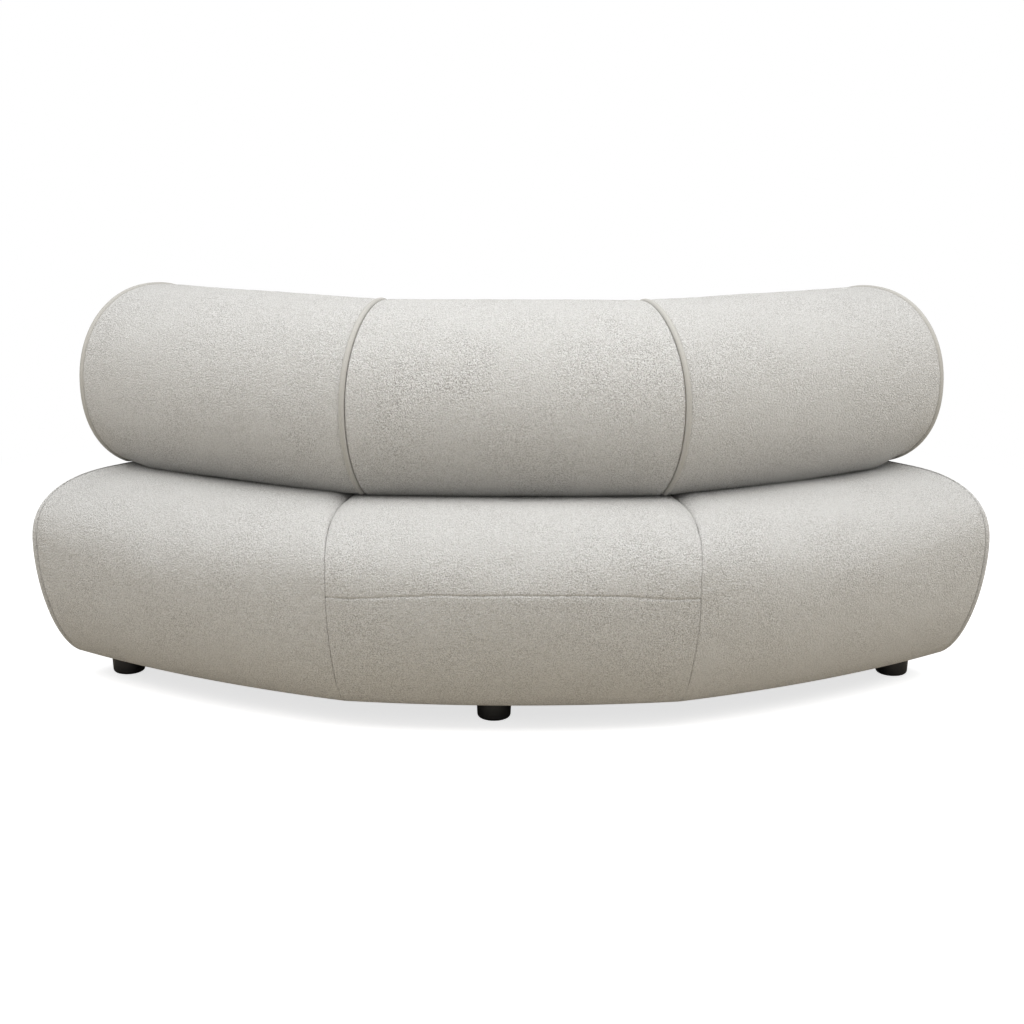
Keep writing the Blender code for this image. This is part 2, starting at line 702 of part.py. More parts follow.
def make_back_frame():
    """Plywood formers on the seams and at the ends, timber spines between them, and the steel sockets."""
    depth = ROLL_DRAW + SKIN
    line = offset(roll_line(), [depth] * ROLL_STEPS, closed=True)
    for name, turns in SEAMS.items():
        angle = turns * SECTION_ANGLE
        along = Vector((math.cos(angle), -math.sin(angle), 0.0))
        centre = inward_of(turns) * (FORMER_THICKNESS / 2 + GAP)
        rings = []
        for side in (-1, 1):
            shift = along * (centre + side * FORMER_THICKNESS / 2)
            rings.append([on_seam(angle, radius, height) + shift for radius, height in line])
        add_piece("back_former_" + name, loft("back_former_" + name, rings), PLYWOOD, BACK_BODY)
    top = SPINE_TOP
    shelf = SPINE_BOTTOM - GAP
    bottom = ROLL_BOTTOM + SKIN
    socket = [(SOCKET_RADIUS, top), (SOCKET_RADIUS, shelf), (FLANGE_RADIUS, shelf)]
    socket += [(FLANGE_RADIUS, shelf - FLANGE_THICKNESS), (SOCKET_RADIUS, shelf - FLANGE_THICKNESS)]
    socket += [(SOCKET_RADIUS, bottom), (SOCKET_BORE, bottom), (SOCKET_BORE, top)]
    for section in SECTIONS:
        near = ROLL_OUT - SPINE_WIDTH / 2
        outline = straight_outline(section, near, near + SPINE_WIDTH, former_trims(section))
        hole = circle(post_spot(section), SOCKET_RADIUS + 2 * GAP)
        spine = plate("back_spine_" + section, outline, [hole], SPINE_BOTTOM, SPINE_HEIGHT)
        add_piece("back_spine_" + section, spine, PLYWOOD, BACK_BODY)
        name = "post_socket_" + section
        add_piece(name, turned(name, socket, post_spot(section), True), STEEL, BACK_BODY, smooth=True)


def end_panel(name, line, angle, side):
    """A gently domed fabric panel that closes an end, on the outside of its end plane."""
    along = Vector((math.cos(angle), -math.sin(angle), 0.0)) * side
    middle = sum((Vector(point) for point in line), Vector((0.0, 0.0))) / len(line)
    rings = []
    for share in (1.0, *DOME_RINGS):
        rise = PANEL_RIM + PANEL_DOME * math.sqrt(1 - share * share) if rings else 0.0
        ring = []
        for point in line:
            radius, height = middle + (Vector(point) - middle) * share
            ring.append(on_seam(angle, radius, height) + along * (GAP / 2 + rise))
        rings.append(ring)
    return loft(name, rings)


def make_ends():
    """Panels on both ends of the seat and of the backrest."""
    seat_end = drawn_in(seat_line("left"), SEAT_END_DRAW)
    roll_end = roll_section_line(0.0, 0.0)
    for name, side in (("left", 1), ("right", -1)):
        angle = END_TURN * SECTION_ANGLE * side
        panel = end_panel("seat_end_panel_" + name, seat_end, angle, side)
        add_piece("seat_end_panel_" + name, panel, FABRIC, SEAT_BODY, smooth=True)
        panel = end_panel("back_end_panel_" + name, roll_end, angle, side)
        add_piece("back_end_panel_" + name, panel, FABRIC, BACK_BODY, smooth=True)


def make_welts():
    """Piping in the groove of each roll seam and round each roll end, seated on the fabric either side."""
    step = SEAM_WIDTH * SEAM_STEP
    half_length = (ROLL_LINE + ROLL_HALF_WIDTH) * SLANT
    fall = step * SLANT - ROLL_BOW * (1 - (1 - step / half_length) ** 2)
    sinks = []
    for radius, height in roll_line():
        facing = (radius - ROLL_LINE) / ROLL_HALF_WIDTH
        slope = (ROLL_DRAW - groove(step, ROLL_DRAW) - facing * fall) / (step * SQUARE)
        sinks.append(ROLL_DRAW - (WELT_RADIUS + 2 * GAP) * math.sqrt(1 + slope * slope))
    line = offset(roll_line(), sinks, closed=True)
    for name, turns in SEAMS.items():
        curve = bpy.data.curves.new("back_welt_" + name, "CURVE")
        curve.dimensions = "3D"
        curve.bevel_depth = WELT_RADIUS
        curve.bevel_resolution = WELT_BEVEL_STEPS
        spline = curve.splines.new("POLY")
        spline.points.add(len(line) - 1)
        spline.use_cyclic_u = True
        for point, (radius, height) in zip(spline.points, line):
            point.co = (*on_seam(turns * SECTION_ANGLE, radius, height), 1.0)
        mesh = curve_mesh(curve, Matrix.Identity(4))
        add_piece("back_welt_" + name, mesh, PIPING, BACK_BODY, smooth=True)


def centre_on_floor():
    """Moves both bodies so that the origin lies midway between the sofa's front and rear."""
    depths = []
    for piece in SOFA.objects:
        if piece.type == "MESH":
            depths += [corner[1] for corner in piece.bound_box]
    shift = -(min(depths) + max(depths)) / 2
    for body in (SEAT_BODY, BACK_BODY):
        body.location = (0.0, shift, 0.0)


foot_spots, nut_barrel = make_feet()
make_base(foot_spots, nut_barrel)
make_seat_frame()
make_webbing()
make_posts()
make_cushions()
make_back_frame()
make_ends()
make_welts()
centre_on_floor()
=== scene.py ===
import math

import bpy
import numpy as np
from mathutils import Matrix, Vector, noise


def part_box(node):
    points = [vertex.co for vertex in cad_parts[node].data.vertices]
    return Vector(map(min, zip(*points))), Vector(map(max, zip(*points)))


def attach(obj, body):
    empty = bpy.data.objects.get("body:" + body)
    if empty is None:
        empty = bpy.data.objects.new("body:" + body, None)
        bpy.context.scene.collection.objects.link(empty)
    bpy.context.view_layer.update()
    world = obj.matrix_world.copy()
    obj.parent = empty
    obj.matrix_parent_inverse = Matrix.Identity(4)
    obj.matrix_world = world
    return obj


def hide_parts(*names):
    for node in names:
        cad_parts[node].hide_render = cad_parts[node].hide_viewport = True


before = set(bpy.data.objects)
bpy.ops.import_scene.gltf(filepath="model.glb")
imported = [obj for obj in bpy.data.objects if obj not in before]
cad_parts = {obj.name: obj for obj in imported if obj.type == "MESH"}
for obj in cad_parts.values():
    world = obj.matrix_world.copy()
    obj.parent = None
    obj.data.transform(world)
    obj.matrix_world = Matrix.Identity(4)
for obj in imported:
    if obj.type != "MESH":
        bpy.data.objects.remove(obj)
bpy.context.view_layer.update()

# Feet: five low round feet, injection moulded in black polypropylene round a steel stud that
# screws up into the base board. They taper a little towards the floor, where the edge is rounded
# off so that the sofa can be pushed without tearing the carpet.
FOOT_TOP_RADIUS = 0.0335
FOOT_BOTTOM_RADIUS = 0.0315
FOOT_EDGE_RADIUS = 0.006
FOOT_TOP_EDGE = 0.0012
FOOT_TOP_TURN = 60.0
FOOT_TOP_STEPS = 3
FOOT_EDGE_STEPS = 8
FOOT_STUD_RADIUS = 0.004
FOOT_GAP = 0.0003
FOOT_SIDES = 72
FOOT_GRAIN = 0.0014
FEET = ("rear_centre", "rear_left", "rear_right", "front_left", "front_right")


def linear(hex_colour):
    """An sRGB hex colour as linear red, green, blue and alpha."""
    channels = [int(hex_colour[index:index + 2], 16) / 255 for index in (1, 3, 5)]
    curved = [c / 12.92 if c <= 0.04045 else ((c + 0.055) / 1.055) ** 2.4 for c in channels]
    return (*curved, 1.0)


def add_node(tree, kind, inputs=None, **settings):
    """Adds a node to a tree. An input given as a socket is linked, any other is set."""
    made = tree.nodes.new(kind)
    for name, value in settings.items():
        setattr(made, name, value)
    for name, value in (inputs or {}).items():
        if isinstance(value, bpy.types.NodeSocket):
            tree.links.new(value, made.inputs[name])
        else:
            made.inputs[name].default_value = value
    return made


def new_finish(name):
    """An empty material, with the place that its patterns are measured in, in metres on the piece."""
    made = bpy.data.materials.new(name)
    made.use_nodes = True
    made.node_tree.nodes.clear()
    place = add_node(made.node_tree, "ShaderNodeTexCoord").outputs["Object"]
    return made, made.node_tree, place


def piece(name, points, faces, finish, body, slot, *nodes):
    """A new smooth piece that rides on a body and stands for some of its nodes."""
    mesh = bpy.data.meshes.new(name)
    mesh.from_pydata([tuple(point) for point in points], [], faces)
    mesh.validate()
    mesh.shade_smooth()
    mesh.materials.append(finish)
    made = bpy.data.objects.new(name, mesh)
    bpy.context.scene.collection.objects.link(made)
    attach(made, body)
    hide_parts(*nodes)
    return made


def turned(profile, centre, sides):
    """Points and faces of a lathe-turned solid, from a profile that starts and ends on its axis."""
    turns = [math.tau * side / sides for side in range(sides)]
    points = [(centre.x, centre.y, profile[0][1]), (centre.x, centre.y, profile[-1][1])]
    for radius, height in profile[1:-1]:
        circle = [(radius * math.cos(turn), radius * math.sin(turn)) for turn in turns]
        points += [(centre.x + across, centre.y + deep, height) for across, deep in circle]
    faces = []
    rings = len(profile) - 2
    for side in range(sides):
        after = (side + 1) % sides
        faces.append((0, 2 + side, 2 + after))
        last = 2 + (rings - 1) * sides
        faces.append((1, last + after, last + side))
        for ring in range(rings - 1):
            upper = 2 + ring * sides
            faces.append((upper + side, upper + sides + side, upper + sides + after, upper + after))
    return points, faces


def rounding(radius, centre_radius, centre_height, start, end, steps):
    """Profile points round an edge, from one angle to another in degrees."""
    angles = [math.radians(start + (end - start) * step / steps) for step in range(steps + 1)]
    return [(centre_radius + radius * math.cos(a), centre_height + radius * math.sin(a)) for a in angles]


# Moulded polypropylene: deep black with a satin skin. The fine spark-eroded grain of the mould
# breaks up its highlights, and is drawn coarser than the real grit so that it shows.
black_polypropylene, tree, place = new_finish("moulded black polypropylene")
grit = add_node(tree, "ShaderNodeTexNoise", {"Vector": place, "Scale": 1 / FOOT_GRAIN, "Detail": 3.0})
worn = add_node(tree, "ShaderNodeMapRange", {"Value": grit.outputs["Fac"], "To Min": 0.36, "To Max": 0.52})
grain = add_node(tree, "ShaderNodeBump", {
    "Height": grit.outputs["Fac"], "Strength": 0.25, "Distance": 0.0003,
})
tint = add_node(tree, "ShaderNodeMix", {
    "Factor": grit.outputs["Fac"], "A": linear("#0b0b0c"), "B": linear("#161617"),
}, data_type="RGBA")
shader = add_node(tree, "ShaderNodeBsdfPrincipled", {
    "Base Color": tint.outputs["Result"], "Roughness": worn.outputs["Result"], "IOR": 1.49,
    "Normal": grain.outputs["Normal"],
})
add_node(tree, "ShaderNodeOutputMaterial", {"Surface": shader.outputs["BSDF"]})

for spot in FEET:
    low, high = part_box("foot_" + spot)
    foot_centre = (low + high) / 2
    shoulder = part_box("base_board")[0].z - FOOT_GAP
    lip = shoulder - FOOT_TOP_EDGE
    top_inner = FOOT_TOP_RADIUS - FOOT_TOP_EDGE
    floor_inner = FOOT_BOTTOM_RADIUS - FOOT_EDGE_RADIUS
    profile = [(0.0, high.z), (FOOT_STUD_RADIUS, high.z)]
    profile += [(FOOT_STUD_RADIUS, shoulder), (top_inner, shoulder)]
    profile += rounding(FOOT_TOP_EDGE, top_inner, lip, FOOT_TOP_TURN, 0, FOOT_TOP_STEPS)
    profile += rounding(FOOT_EDGE_RADIUS, floor_inner, FOOT_EDGE_RADIUS, 0, -90, FOOT_EDGE_STEPS)
    profile.append((0.0, 0.0))
    points, faces = turned(profile, foot_centre, FOOT_SIDES)
    piece("moulded_foot_" + spot, points, faces, black_polypropylene, "seat_base", "black_plastic",
          "foot_" + spot)

# Steel fittings: tee nuts pressed into the base board, the three tube posts screwed to it, and the
# sockets in the backrest that drop over the posts. All are pressed or welded mild steel, plated
# with bright zinc after forming.
POST_RADIUS = 0.016
POST_BORE = 0.014
POST_FLANGE_RADIUS = 0.035
POST_FLANGE = 0.003
POST_RIM = 0.0006
POST_SIDES = 64
SHARP_ANGLE = math.radians(40.0)
ZINC_SPANGLE = 0.006
ZINC_CLOUD = 0.012
SECTIONS = {"left": 1, "centre": 0, "right": -1}

# Zinc plate: pale bluish grey metal, its cloudy crystals each a little brighter or duller.
zinc_plate, tree, place = new_finish("bright zinc plated steel")
crystals = add_node(tree, "ShaderNodeTexVoronoi", {"Vector": place, "Scale": 1 / ZINC_SPANGLE})
clouds = add_node(tree, "ShaderNodeTexNoise", {"Vector": place, "Scale": 1 / ZINC_CLOUD, "Detail": 4.0})
dulled = add_node(tree, "ShaderNodeMapRange", {
    "Value": clouds.outputs["Fac"], "To Min": 0.26, "To Max": 0.44,
})
tint = add_node(tree, "ShaderNodeMix", {
    "Factor": crystals.outputs["Distance"], "A": linear("#c9cccf"), "B": linear("#b3b7ba"),
}, data_type="RGBA")
shader = add_node(tree, "ShaderNodeBsdfPrincipled", {
    "Base Color": tint.outputs["Result"], "Metallic": 1.0, "Roughness": dulled.outputs["Result"],
})
add_node(tree, "ShaderNodeOutputMaterial", {"Surface": shader.outputs["BSDF"]})


def coat(finish, *prefixes):
    """Gives a finish to the frame's own nodes whose names start so."""
    for name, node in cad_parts.items():
        if name.startswith(prefixes):
            node.data.materials.clear()
            node.data.materials.append(finish)


def tube_faces(rings, sides):
    """Faces of a turned ring whose profile closes on itself."""
    faces = []
    for ring in range(rings):
        here, there = ring * sides, (ring + 1) % rings * sides
        for side in range(sides):
            after = (side + 1) % sides
            faces.append((here + side, there + side, there + after, here + after))
    return faces


coat(zinc_plate, "tee_nut_", "post_socket_")
for section in SECTIONS:
    low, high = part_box("backrest_post_" + section)
    axis = (low + high) / 2
    flange = low.z + POST_FLANGE
    profile = [(POST_BORE, high.z - POST_RIM), (POST_BORE + POST_RIM, high.z)]
    profile += [(POST_RADIUS - POST_RIM, high.z), (POST_RADIUS, high.z - POST_RIM), (POST_RADIUS, flange)]
    profile += [(POST_FLANGE_RADIUS, flange), (POST_FLANGE_RADIUS, low.z), (POST_BORE, low.z)]
    turns = [math.tau * side / POST_SIDES for side in range(POST_SIDES)]
    points = [(axis.x + r * math.cos(t), axis.y + r * math.sin(t), z) for r, z in profile for t in turns]
    post = piece("tube_post_" + section, points, tube_faces(len(profile), POST_SIDES), zinc_plate,
                 "seat_base", "steel", "backrest_post_" + section)
    post.data.set_sharp_from_angle(angle=SHARP_ANGLE)

# Timber frame: an 18 mm birch plywood base board with ribs and rails glued and screwed on it, and
# plywood formers on softwood spines inside the backrest. It is left as sawn and sanded, because the
# upholstery covers all of it.
PLY_GRAIN_WIDTH = 0.004
PLY_GRAIN_LENGTH = 0.090
PLY_FIGURE = 0.060

# Sanded birch plywood: pale straw face veneer with long, faint darker grain.
birch_plywood, tree, place = new_finish("sanded birch plywood")
along_grain = add_node(tree, "ShaderNodeMapping", {
    "Vector": place, "Scale": (1 / PLY_GRAIN_LENGTH, 1 / PLY_GRAIN_WIDTH, 1 / PLY_GRAIN_WIDTH),
})
veins = add_node(tree, "ShaderNodeTexNoise", {
    "Vector": along_grain.outputs["Vector"], "Scale": 1.0, "Detail": 5.0,
})
figure = add_node(tree, "ShaderNodeTexNoise", {"Vector": place, "Scale": 1 / PLY_FIGURE, "Detail": 2.0})
veneer = add_node(tree, "ShaderNodeMix", {
    "Factor": veins.outputs["Fac"], "A": linear("#d9bd92"), "B": linear("#b98f5e"),
}, data_type="RGBA")
shaded = add_node(tree, "ShaderNodeMix", {
    "Factor": figure.outputs["Fac"], "A": veneer.outputs["Result"], "B": linear("#c9a677"),
}, data_type="RGBA")
fuzz = add_node(tree, "ShaderNodeBump", {
    "Height": veins.outputs["Fac"], "Strength": 0.3, "Distance": 0.0004,
})
shader = add_node(tree, "ShaderNodeBsdfPrincipled", {
    "Base Color": shaded.outputs["Result"], "Roughness": 0.68, "Normal": fuzz.outputs["Normal"],
})
add_node(tree, "ShaderNodeOutputMaterial", {"Surface": shader.outputs["BSDF"]})

coat(birch_plywood, "base_board", "seat_rib_", "rear_rail_", "front_rail_", "back_former_", "back_spine_")

# Seat webbing: crossed straps of rubber-cored polypropylene, woven as a flat band and stapled
# stretched over each bay of the frame, where they carry the seat foam.
WEBBING_PITCH = 0.003

# Woven elastic band: dull brown black, ribbed across by its weft.
woven_elastic, tree, place = new_finish("woven elastic webbing")
weft = add_node(tree, "ShaderNodeTexWave", {"Vector": place, "Scale": 1 / WEBBING_PITCH / math.tau},
                bands_direction="X")
warp = add_node(tree, "ShaderNodeTexWave", {"Vector": place, "Scale": 1 / WEBBING_PITCH / math.tau},
                bands_direction="Y")
crossing = add_node(tree, "ShaderNodeMath", {
    0: weft.outputs["Fac"], 1: warp.outputs["Fac"],
}, operation="MULTIPLY")
tint = add_node(tree, "ShaderNodeMix", {
    "Factor": crossing.outputs["Value"], "A": linear("#33291f"), "B": linear("#5d4d3f"),
}, data_type="RGBA")
ribs = add_node(tree, "ShaderNodeBump", {
    "Height": crossing.outputs["Value"], "Strength": 0.6, "Distance": 0.0006,
})
shader = add_node(tree, "ShaderNodeBsdfPrincipled", {
    "Base Color": tint.outputs["Result"], "Roughness": 0.8, "Normal": ribs.outputs["Normal"],
})
add_node(tree, "ShaderNodeOutputMaterial", {"Surface": shader.outputs["BSDF"]})

coat(woven_elastic, "webbing_")

# Lining: a sheet of black spunbonded polypropylene stapled under the base to keep dust out, cut
# round the feet.
LINING_DOT = 0.0025

# Spunbonded polypropylene: matt black, calendered with a grid of small shiny pits.
spunbond, tree, place = new_finish("spunbonded black lining")
dots = add_node(tree, "ShaderNodeTexVoronoi", {
    "Vector": place, "Scale": 1 / LINING_DOT, "Randomness": 0.15,
})
pits = add_node(tree, "ShaderNodeMapRange", {
    "Value": dots.outputs["Distance"], "From Max": 0.5, "To Min": 0.55, "To Max": 0.9,
})
tint = add_node(tree, "ShaderNodeMix", {
    "Factor": dots.outputs["Distance"], "A": linear("#1d1d1e"), "B": linear("#2c2c2d"),
}, data_type="RGBA")
dimples = add_node(tree, "ShaderNodeBump", {
    "Height": dots.outputs["Distance"], "Strength": 0.5, "Distance": 0.0004,
})
shader = add_node(tree, "ShaderNodeBsdfPrincipled", {
    "Base Color": tint.outputs["Result"], "Roughness": pits.outputs["Result"],
    "Normal": dimples.outputs["Normal"],
})
add_node(tree, "ShaderNodeOutputMaterial", {"Surface": shader.outputs["BSDF"]})

coat(spunbond, "dust_cover")

# Foam: blocks of polyurethane foam cut to shape and glued round the timber, firm in the seat and
# softer in the backrest. Each stands for its frame node, with the wavy skin that the foam saw leaves.
# The seat's blocks are eased back round the top and stop short of the seams that draw the covers in.
FOAM_CELL = 0.0016
SAW_WAVE = 0.045
SAW_DEPTH = 0.0008
FOAM_WELD = 0.00001
FOAM_EASE = 0.022
FOAM_EASE_FROM = 0.240
FOAM_EASE_TO = 0.340
FOAM_MIDDLE = 0.950
FOAM_GAP = 0.030
FOAM_GAP_REACH = 0.100
SECTION_TURN = math.radians(27.0)
HALF_TURN = SECTION_TURN / 2
ROLL_RADIUS = 1.107
ROLL_BOW = 0.011
POST_MIDDLE = sum(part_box("backrest_post_centre"), Vector()) / 2
AXIS_Y = POST_MIDDLE.y - ROLL_RADIUS * math.cos(HALF_TURN) - ROLL_BOW

# Cut polyurethane foam: cream, matt, pricked all over by open cells.
cut_foam, tree, place = new_finish("cut polyurethane foam")
cells = add_node(tree, "ShaderNodeTexVoronoi", {"Vector": place, "Scale": 1 / FOAM_CELL})
tint = add_node(tree, "ShaderNodeMix", {
    "Factor": cells.outputs["Distance"], "A": linear("#d9cba8"), "B": linear("#efe5c9"),
}, data_type="RGBA")
pores = add_node(tree, "ShaderNodeBump", {
    "Height": cells.outputs["Distance"], "Strength": 0.5, "Distance": 0.0006,
})
shader = add_node(tree, "ShaderNodeBsdfPrincipled", {
    "Base Color": tint.outputs["Result"], "Roughness": 0.95, "Normal": pores.outputs["Normal"],
})
add_node(tree, "ShaderNodeOutputMaterial", {"Surface": shader.outputs["BSDF"]})


def share_of(value, low, high):
    """How far a value has come from a low to a high one, from 0 to 1."""
    return min(max((value - low) / (high - low), 0.0), 1.0)


def eased(spot, section):
    """A point of a seat's foam, moved in if it is near the top, the front, the rear or a seam."""
    turn = SECTIONS[section] * SECTION_TURN
    along = Vector((math.cos(turn), -math.sin(turn), 0.0))
    out = Vector((math.sin(turn), math.cos(turn), 0.0))
    aside = spot.dot(along) - AXIS_Y * along.y
    away = spot.dot(out) - AXIS_Y * out.y
    seam_at = away * math.tan(HALF_TURN)
    in_reach = share_of(abs(aside), seam_at - FOAM_GAP_REACH, seam_at)
    upper = FOAM_EASE * share_of(spot.z, FOAM_EASE_FROM, FOAM_EASE_TO)
    outer = 2 * share_of(away, FOAM_MIDDLE - FOAM_GAP_REACH, FOAM_MIDDLE + FOAM_GAP_REACH) - 1
    from_seam = along * math.copysign(FOAM_GAP * in_reach, aside)
    return spot - from_seam - out * upper * outer - Vector((0, 0, upper))


def foam_block(node, body, section):
    """A foam block cut like its node, with its faces divided and faintly waved inward."""
    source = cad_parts[node].data.copy()
    block = bpy.data.objects.new("cut_" + node, source)
    bpy.context.scene.collection.objects.link(block)
    weld = block.modifiers.new("weld", "WELD")
    weld.merge_threshold = FOAM_WELD
    divide = block.modifiers.new("divide", "SUBSURF")
    divide.subdivision_type = "SIMPLE"
    divide.levels = 1
    divide.render_levels = 1
    graph = bpy.context.evaluated_depsgraph_get()
    block.data = bpy.data.meshes.new_from_object(block.evaluated_get(graph))
    block.modifiers.clear()
    mesh = block.data
    for vertex in mesh.vertices:
        depth = SAW_DEPTH * (1 + noise.noise(vertex.co / SAW_WAVE)) / 2
        vertex.co -= vertex.normal * max(depth, 0.0)
        if body == "seat_base":
            vertex.co = eased(vertex.co, section)
    mesh.shade_smooth()
    mesh.set_sharp_from_angle(angle=SHARP_ANGLE)
    mesh.materials.clear()
    mesh.materials.append(cut_foam)
    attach(block, body)
    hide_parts(node)


for section in SECTIONS:
    foam_block("seat_foam_" + section, "seat_base", section)
    foam_block("back_foam_" + section, "backrest", section)

# Upholstery fabric: a heavy polyester boucle in light warm grey, woven from curled yarn that leaves
# a pebbled face of small loops, backed and laid over wadding. It covers the seat, the backrest rolls
# and the end panels.
LOOP_SIZE = 0.0028
FIBRE_SIZE = 0.0012
FLECK_SIZE = 0.0020
DYE_CLOUD = 0.110

# Woven boucle: pale loops over greyer ground yarn, quite matt, with a faint bloom of loose fibre
# at glancing angles. The loops are drawn a little coarser than they are so that they show.
boucle, tree, place = new_finish("woven boucle")
wander = add_node(tree, "ShaderNodeTexNoise", {"Vector": place, "Scale": 1 / LOOP_SIZE, "Detail": 1.0})
curl = add_node(tree, "ShaderNodeVectorMath", {
    0: wander.outputs["Color"], 1: (LOOP_SIZE, LOOP_SIZE, LOOP_SIZE),
}, operation="MULTIPLY")
curled = add_node(tree, "ShaderNodeVectorMath", {0: place, 1: curl.outputs["Vector"]}, operation="ADD")
loops = add_node(tree, "ShaderNodeTexVoronoi", {
    "Vector": curled.outputs["Vector"], "Scale": 1 / LOOP_SIZE, "Smoothness": 0.6,
}, feature="SMOOTH_F1")
fibres = add_node(tree, "ShaderNodeTexNoise", {"Vector": place, "Scale": 1 / FIBRE_SIZE, "Detail": 2.0})
flecks = add_node(tree, "ShaderNodeTexNoise", {"Vector": place, "Scale": 1 / FLECK_SIZE, "Detail": 2.0})
clouds = add_node(tree, "ShaderNodeTexNoise", {"Vector": place, "Scale": 1 / DYE_CLOUD, "Detail": 2.0})
yarn = add_node(tree, "ShaderNodeValToRGB", {"Fac": flecks.outputs["Fac"]})
yarn.color_ramp.elements[0].position = 0.36
yarn.color_ramp.elements[0].color = linear("#86837d")
yarn.color_ramp.elements[1].position = 0.58
yarn.color_ramp.elements[1].color = linear("#e1e0de")
dyed = add_node(tree, "ShaderNodeMix", {
    "Factor": clouds.outputs["Fac"], "A": yarn.outputs["Color"], "B": linear("#cfcecb"),
}, data_type="RGBA")
pile = add_node(tree, "ShaderNodeMath", {
    0: loops.outputs["Distance"], 1: -1.0, 2: fibres.outputs["Fac"],
}, operation="MULTIPLY_ADD")
nap = add_node(tree, "ShaderNodeBump", {
    "Height": pile.outputs["Value"], "Strength": 1.0, "Distance": 0.0026,
})
shader = add_node(tree, "ShaderNodeBsdfPrincipled", {
    "Base Color": dyed.outputs["Result"], "Roughness": 0.94, "Sheen Weight": 0.22, "Sheen Roughness": 0.45,
    "Sheen Tint": linear("#fbf9f4"), "Specular IOR Level": 0.25, "Normal": nap.outputs["Normal"],
})
add_node(tree, "ShaderNodeOutputMaterial", {"Surface": shader.outputs["BSDF"]})

# Seat cushions: three wedge-shaped foam sections side by side on one frame, mitred at their seams.
# Each has its own boucle cover, pulled down over the edge and stapled under the base board. The
# seams are plain, drawn in deepest on top, and the middle cover has a level seam across its back.
SEAT_REAR = 1.420
SEAT_FRONT = 0.440
SEAT_REAR_BOW = 0.026
SEAT_FRONT_BOW = 0.006
SEAT_HEIGHT = 0.367
SEAT_WIDEST = 0.247
REAR_SHOULDER = 0.201
REAR_TUCK = 0.112
FRONT_SHOULDER = 0.190
FRONT_TUCK = 0.085
SHOULDER_POWER = 2.50
TUCK_POWER = 1.79
SEAT_CROWN = 0.010
SEAT_HEM = 0.010
ROLL_HALF = 0.179
UNDER_ROLL = 0.110
FABRIC_THICKNESS = 0.0036
POST_HOLE = 0.019
PROFILE_STEP = 0.008
QUARTER_POINTS = 40
SEAM_ZONE = 0.045
SEAM_ROWS = 14
SEAM_ROW_SPREAD = 1.7
SLOT_ROWS = 2
MIDDLE_ROWS = 54
SEAM_SLOT = 0.0003
SEAM_WANDER = 0.0010
SEAM_WANDER_LENGTH = 0.022
SEAM_WANDER_REACH = 0.012
SEAM_WANDER_SEED = 7.3
SEAM_DEPTH = 0.012
SEAM_WALL_EDGE = 0.0015
SEAM_WALL_WIDTH = 0.007
SEAM_TOP_EDGE = 0.012
SEAM_TOP_WIDTH = 0.042
SEAM_TOP_LEVEL = 0.345
SEAM_TOP_FROM = 0.600
SEAM_TOP_FULL = 0.800
END_SEAM_SHIFT = 0.009
END_SEAM_STRAIGHT = 0.320
END_LIFTS = {"left": 0.0, "centre": 0.0, "right": 0.006}
END_LIFT_REACH = 0.200
SEAM_FADE = 0.060
SEAM_FLARE = 0.030
SEAM_FLARE_REACH = 0.090
SEAM_FLARE_FROM = 0.600
SEAM_FLARE_FULL = 1.100
SEAM_FLARE_RISE = 0.050
BULGE_REACH = 0.100
LEVEL_SEAM_DROP = 0.001
LEVEL_SEAM_SAG = 0.014
LEVEL_SEAM_DEPTH = 0.0014
LEVEL_SEAM_WIDTH = 0.0018
LEVEL_SEAM_DIP = 0.014
LEVEL_SEAM_DIP_DEPTH = 0.00042
LEVEL_SEAM_WANDER = 0.0020
LEVEL_SEAM_WAVE = 0.075
LEVEL_SEAM_SEED = (0.3, 0.7)
SWELL_STEP = 0.014
SWELL_SEAM = 0.030
SWELL_FRAMES = 20
SWELL_PRESSURE = 2.5
SWELL_SLACK = 0.0005
SWELL_LIMIT = 0.022
CLOTH_QUALITY = 4
CLOTH_MASS = 0.3
CLOTH_STRETCH = 20.0
CLOTH_SHEAR = 5.0
CLOTH_BEND = 0.5
SEAT_INSET = 0.0008
PUCKER = 0.0011
PUCKER_SPACING = 0.019
PUCKER_REACH = 0.016
LUMP = 0.0016
LUMP_SIZE = 0.150
LUMP_CLEAR = 0.048
SEAT_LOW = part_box("seat_cover_centre")[0].z
SEAT_TOP = SEAT_LOW + SEAT_HEIGHT
WIDEST_LEVEL = SEAT_LOW + SEAT_WIDEST


def superquarter(reach, rise, power):
    """A quarter of a superellipse in (radius, height), from its widest point up to its top."""
    turns = np.linspace(0.0, math.pi / 2, QUARTER_POINTS)
    across = np.clip(np.cos(turns), 0.0, 1.0) ** (2 / power)
    return np.stack([reach * across, rise * np.sin(turns) ** (2 / power)], axis=1)


def spaced(line, step, fine_at=None):
    """A line resampled to even steps, with finer ones near a chosen place along it."""
    lengths = np.concatenate([[0.0], np.cumsum(np.linalg.norm(np.diff(line, axis=0), axis=1))])
    marks = np.linspace(0.0, lengths[-1], int(lengths[-1] / step) + 1)
    if fine_at is not None:
        nearest = lengths[np.argmin(np.linalg.norm(line - np.array(fine_at), axis=1))]
        near = np.arange(-LEVEL_SEAM_DIP, LEVEL_SEAM_DIP, LEVEL_SEAM_WIDTH / 2) + nearest
        marks = marks[np.abs(marks - nearest) > LEVEL_SEAM_DIP]
        marks = np.sort(np.concatenate([marks, near]))
    return np.stack([np.interp(marks, lengths, line[:, axis]) for axis in (0, 1)], axis=1)


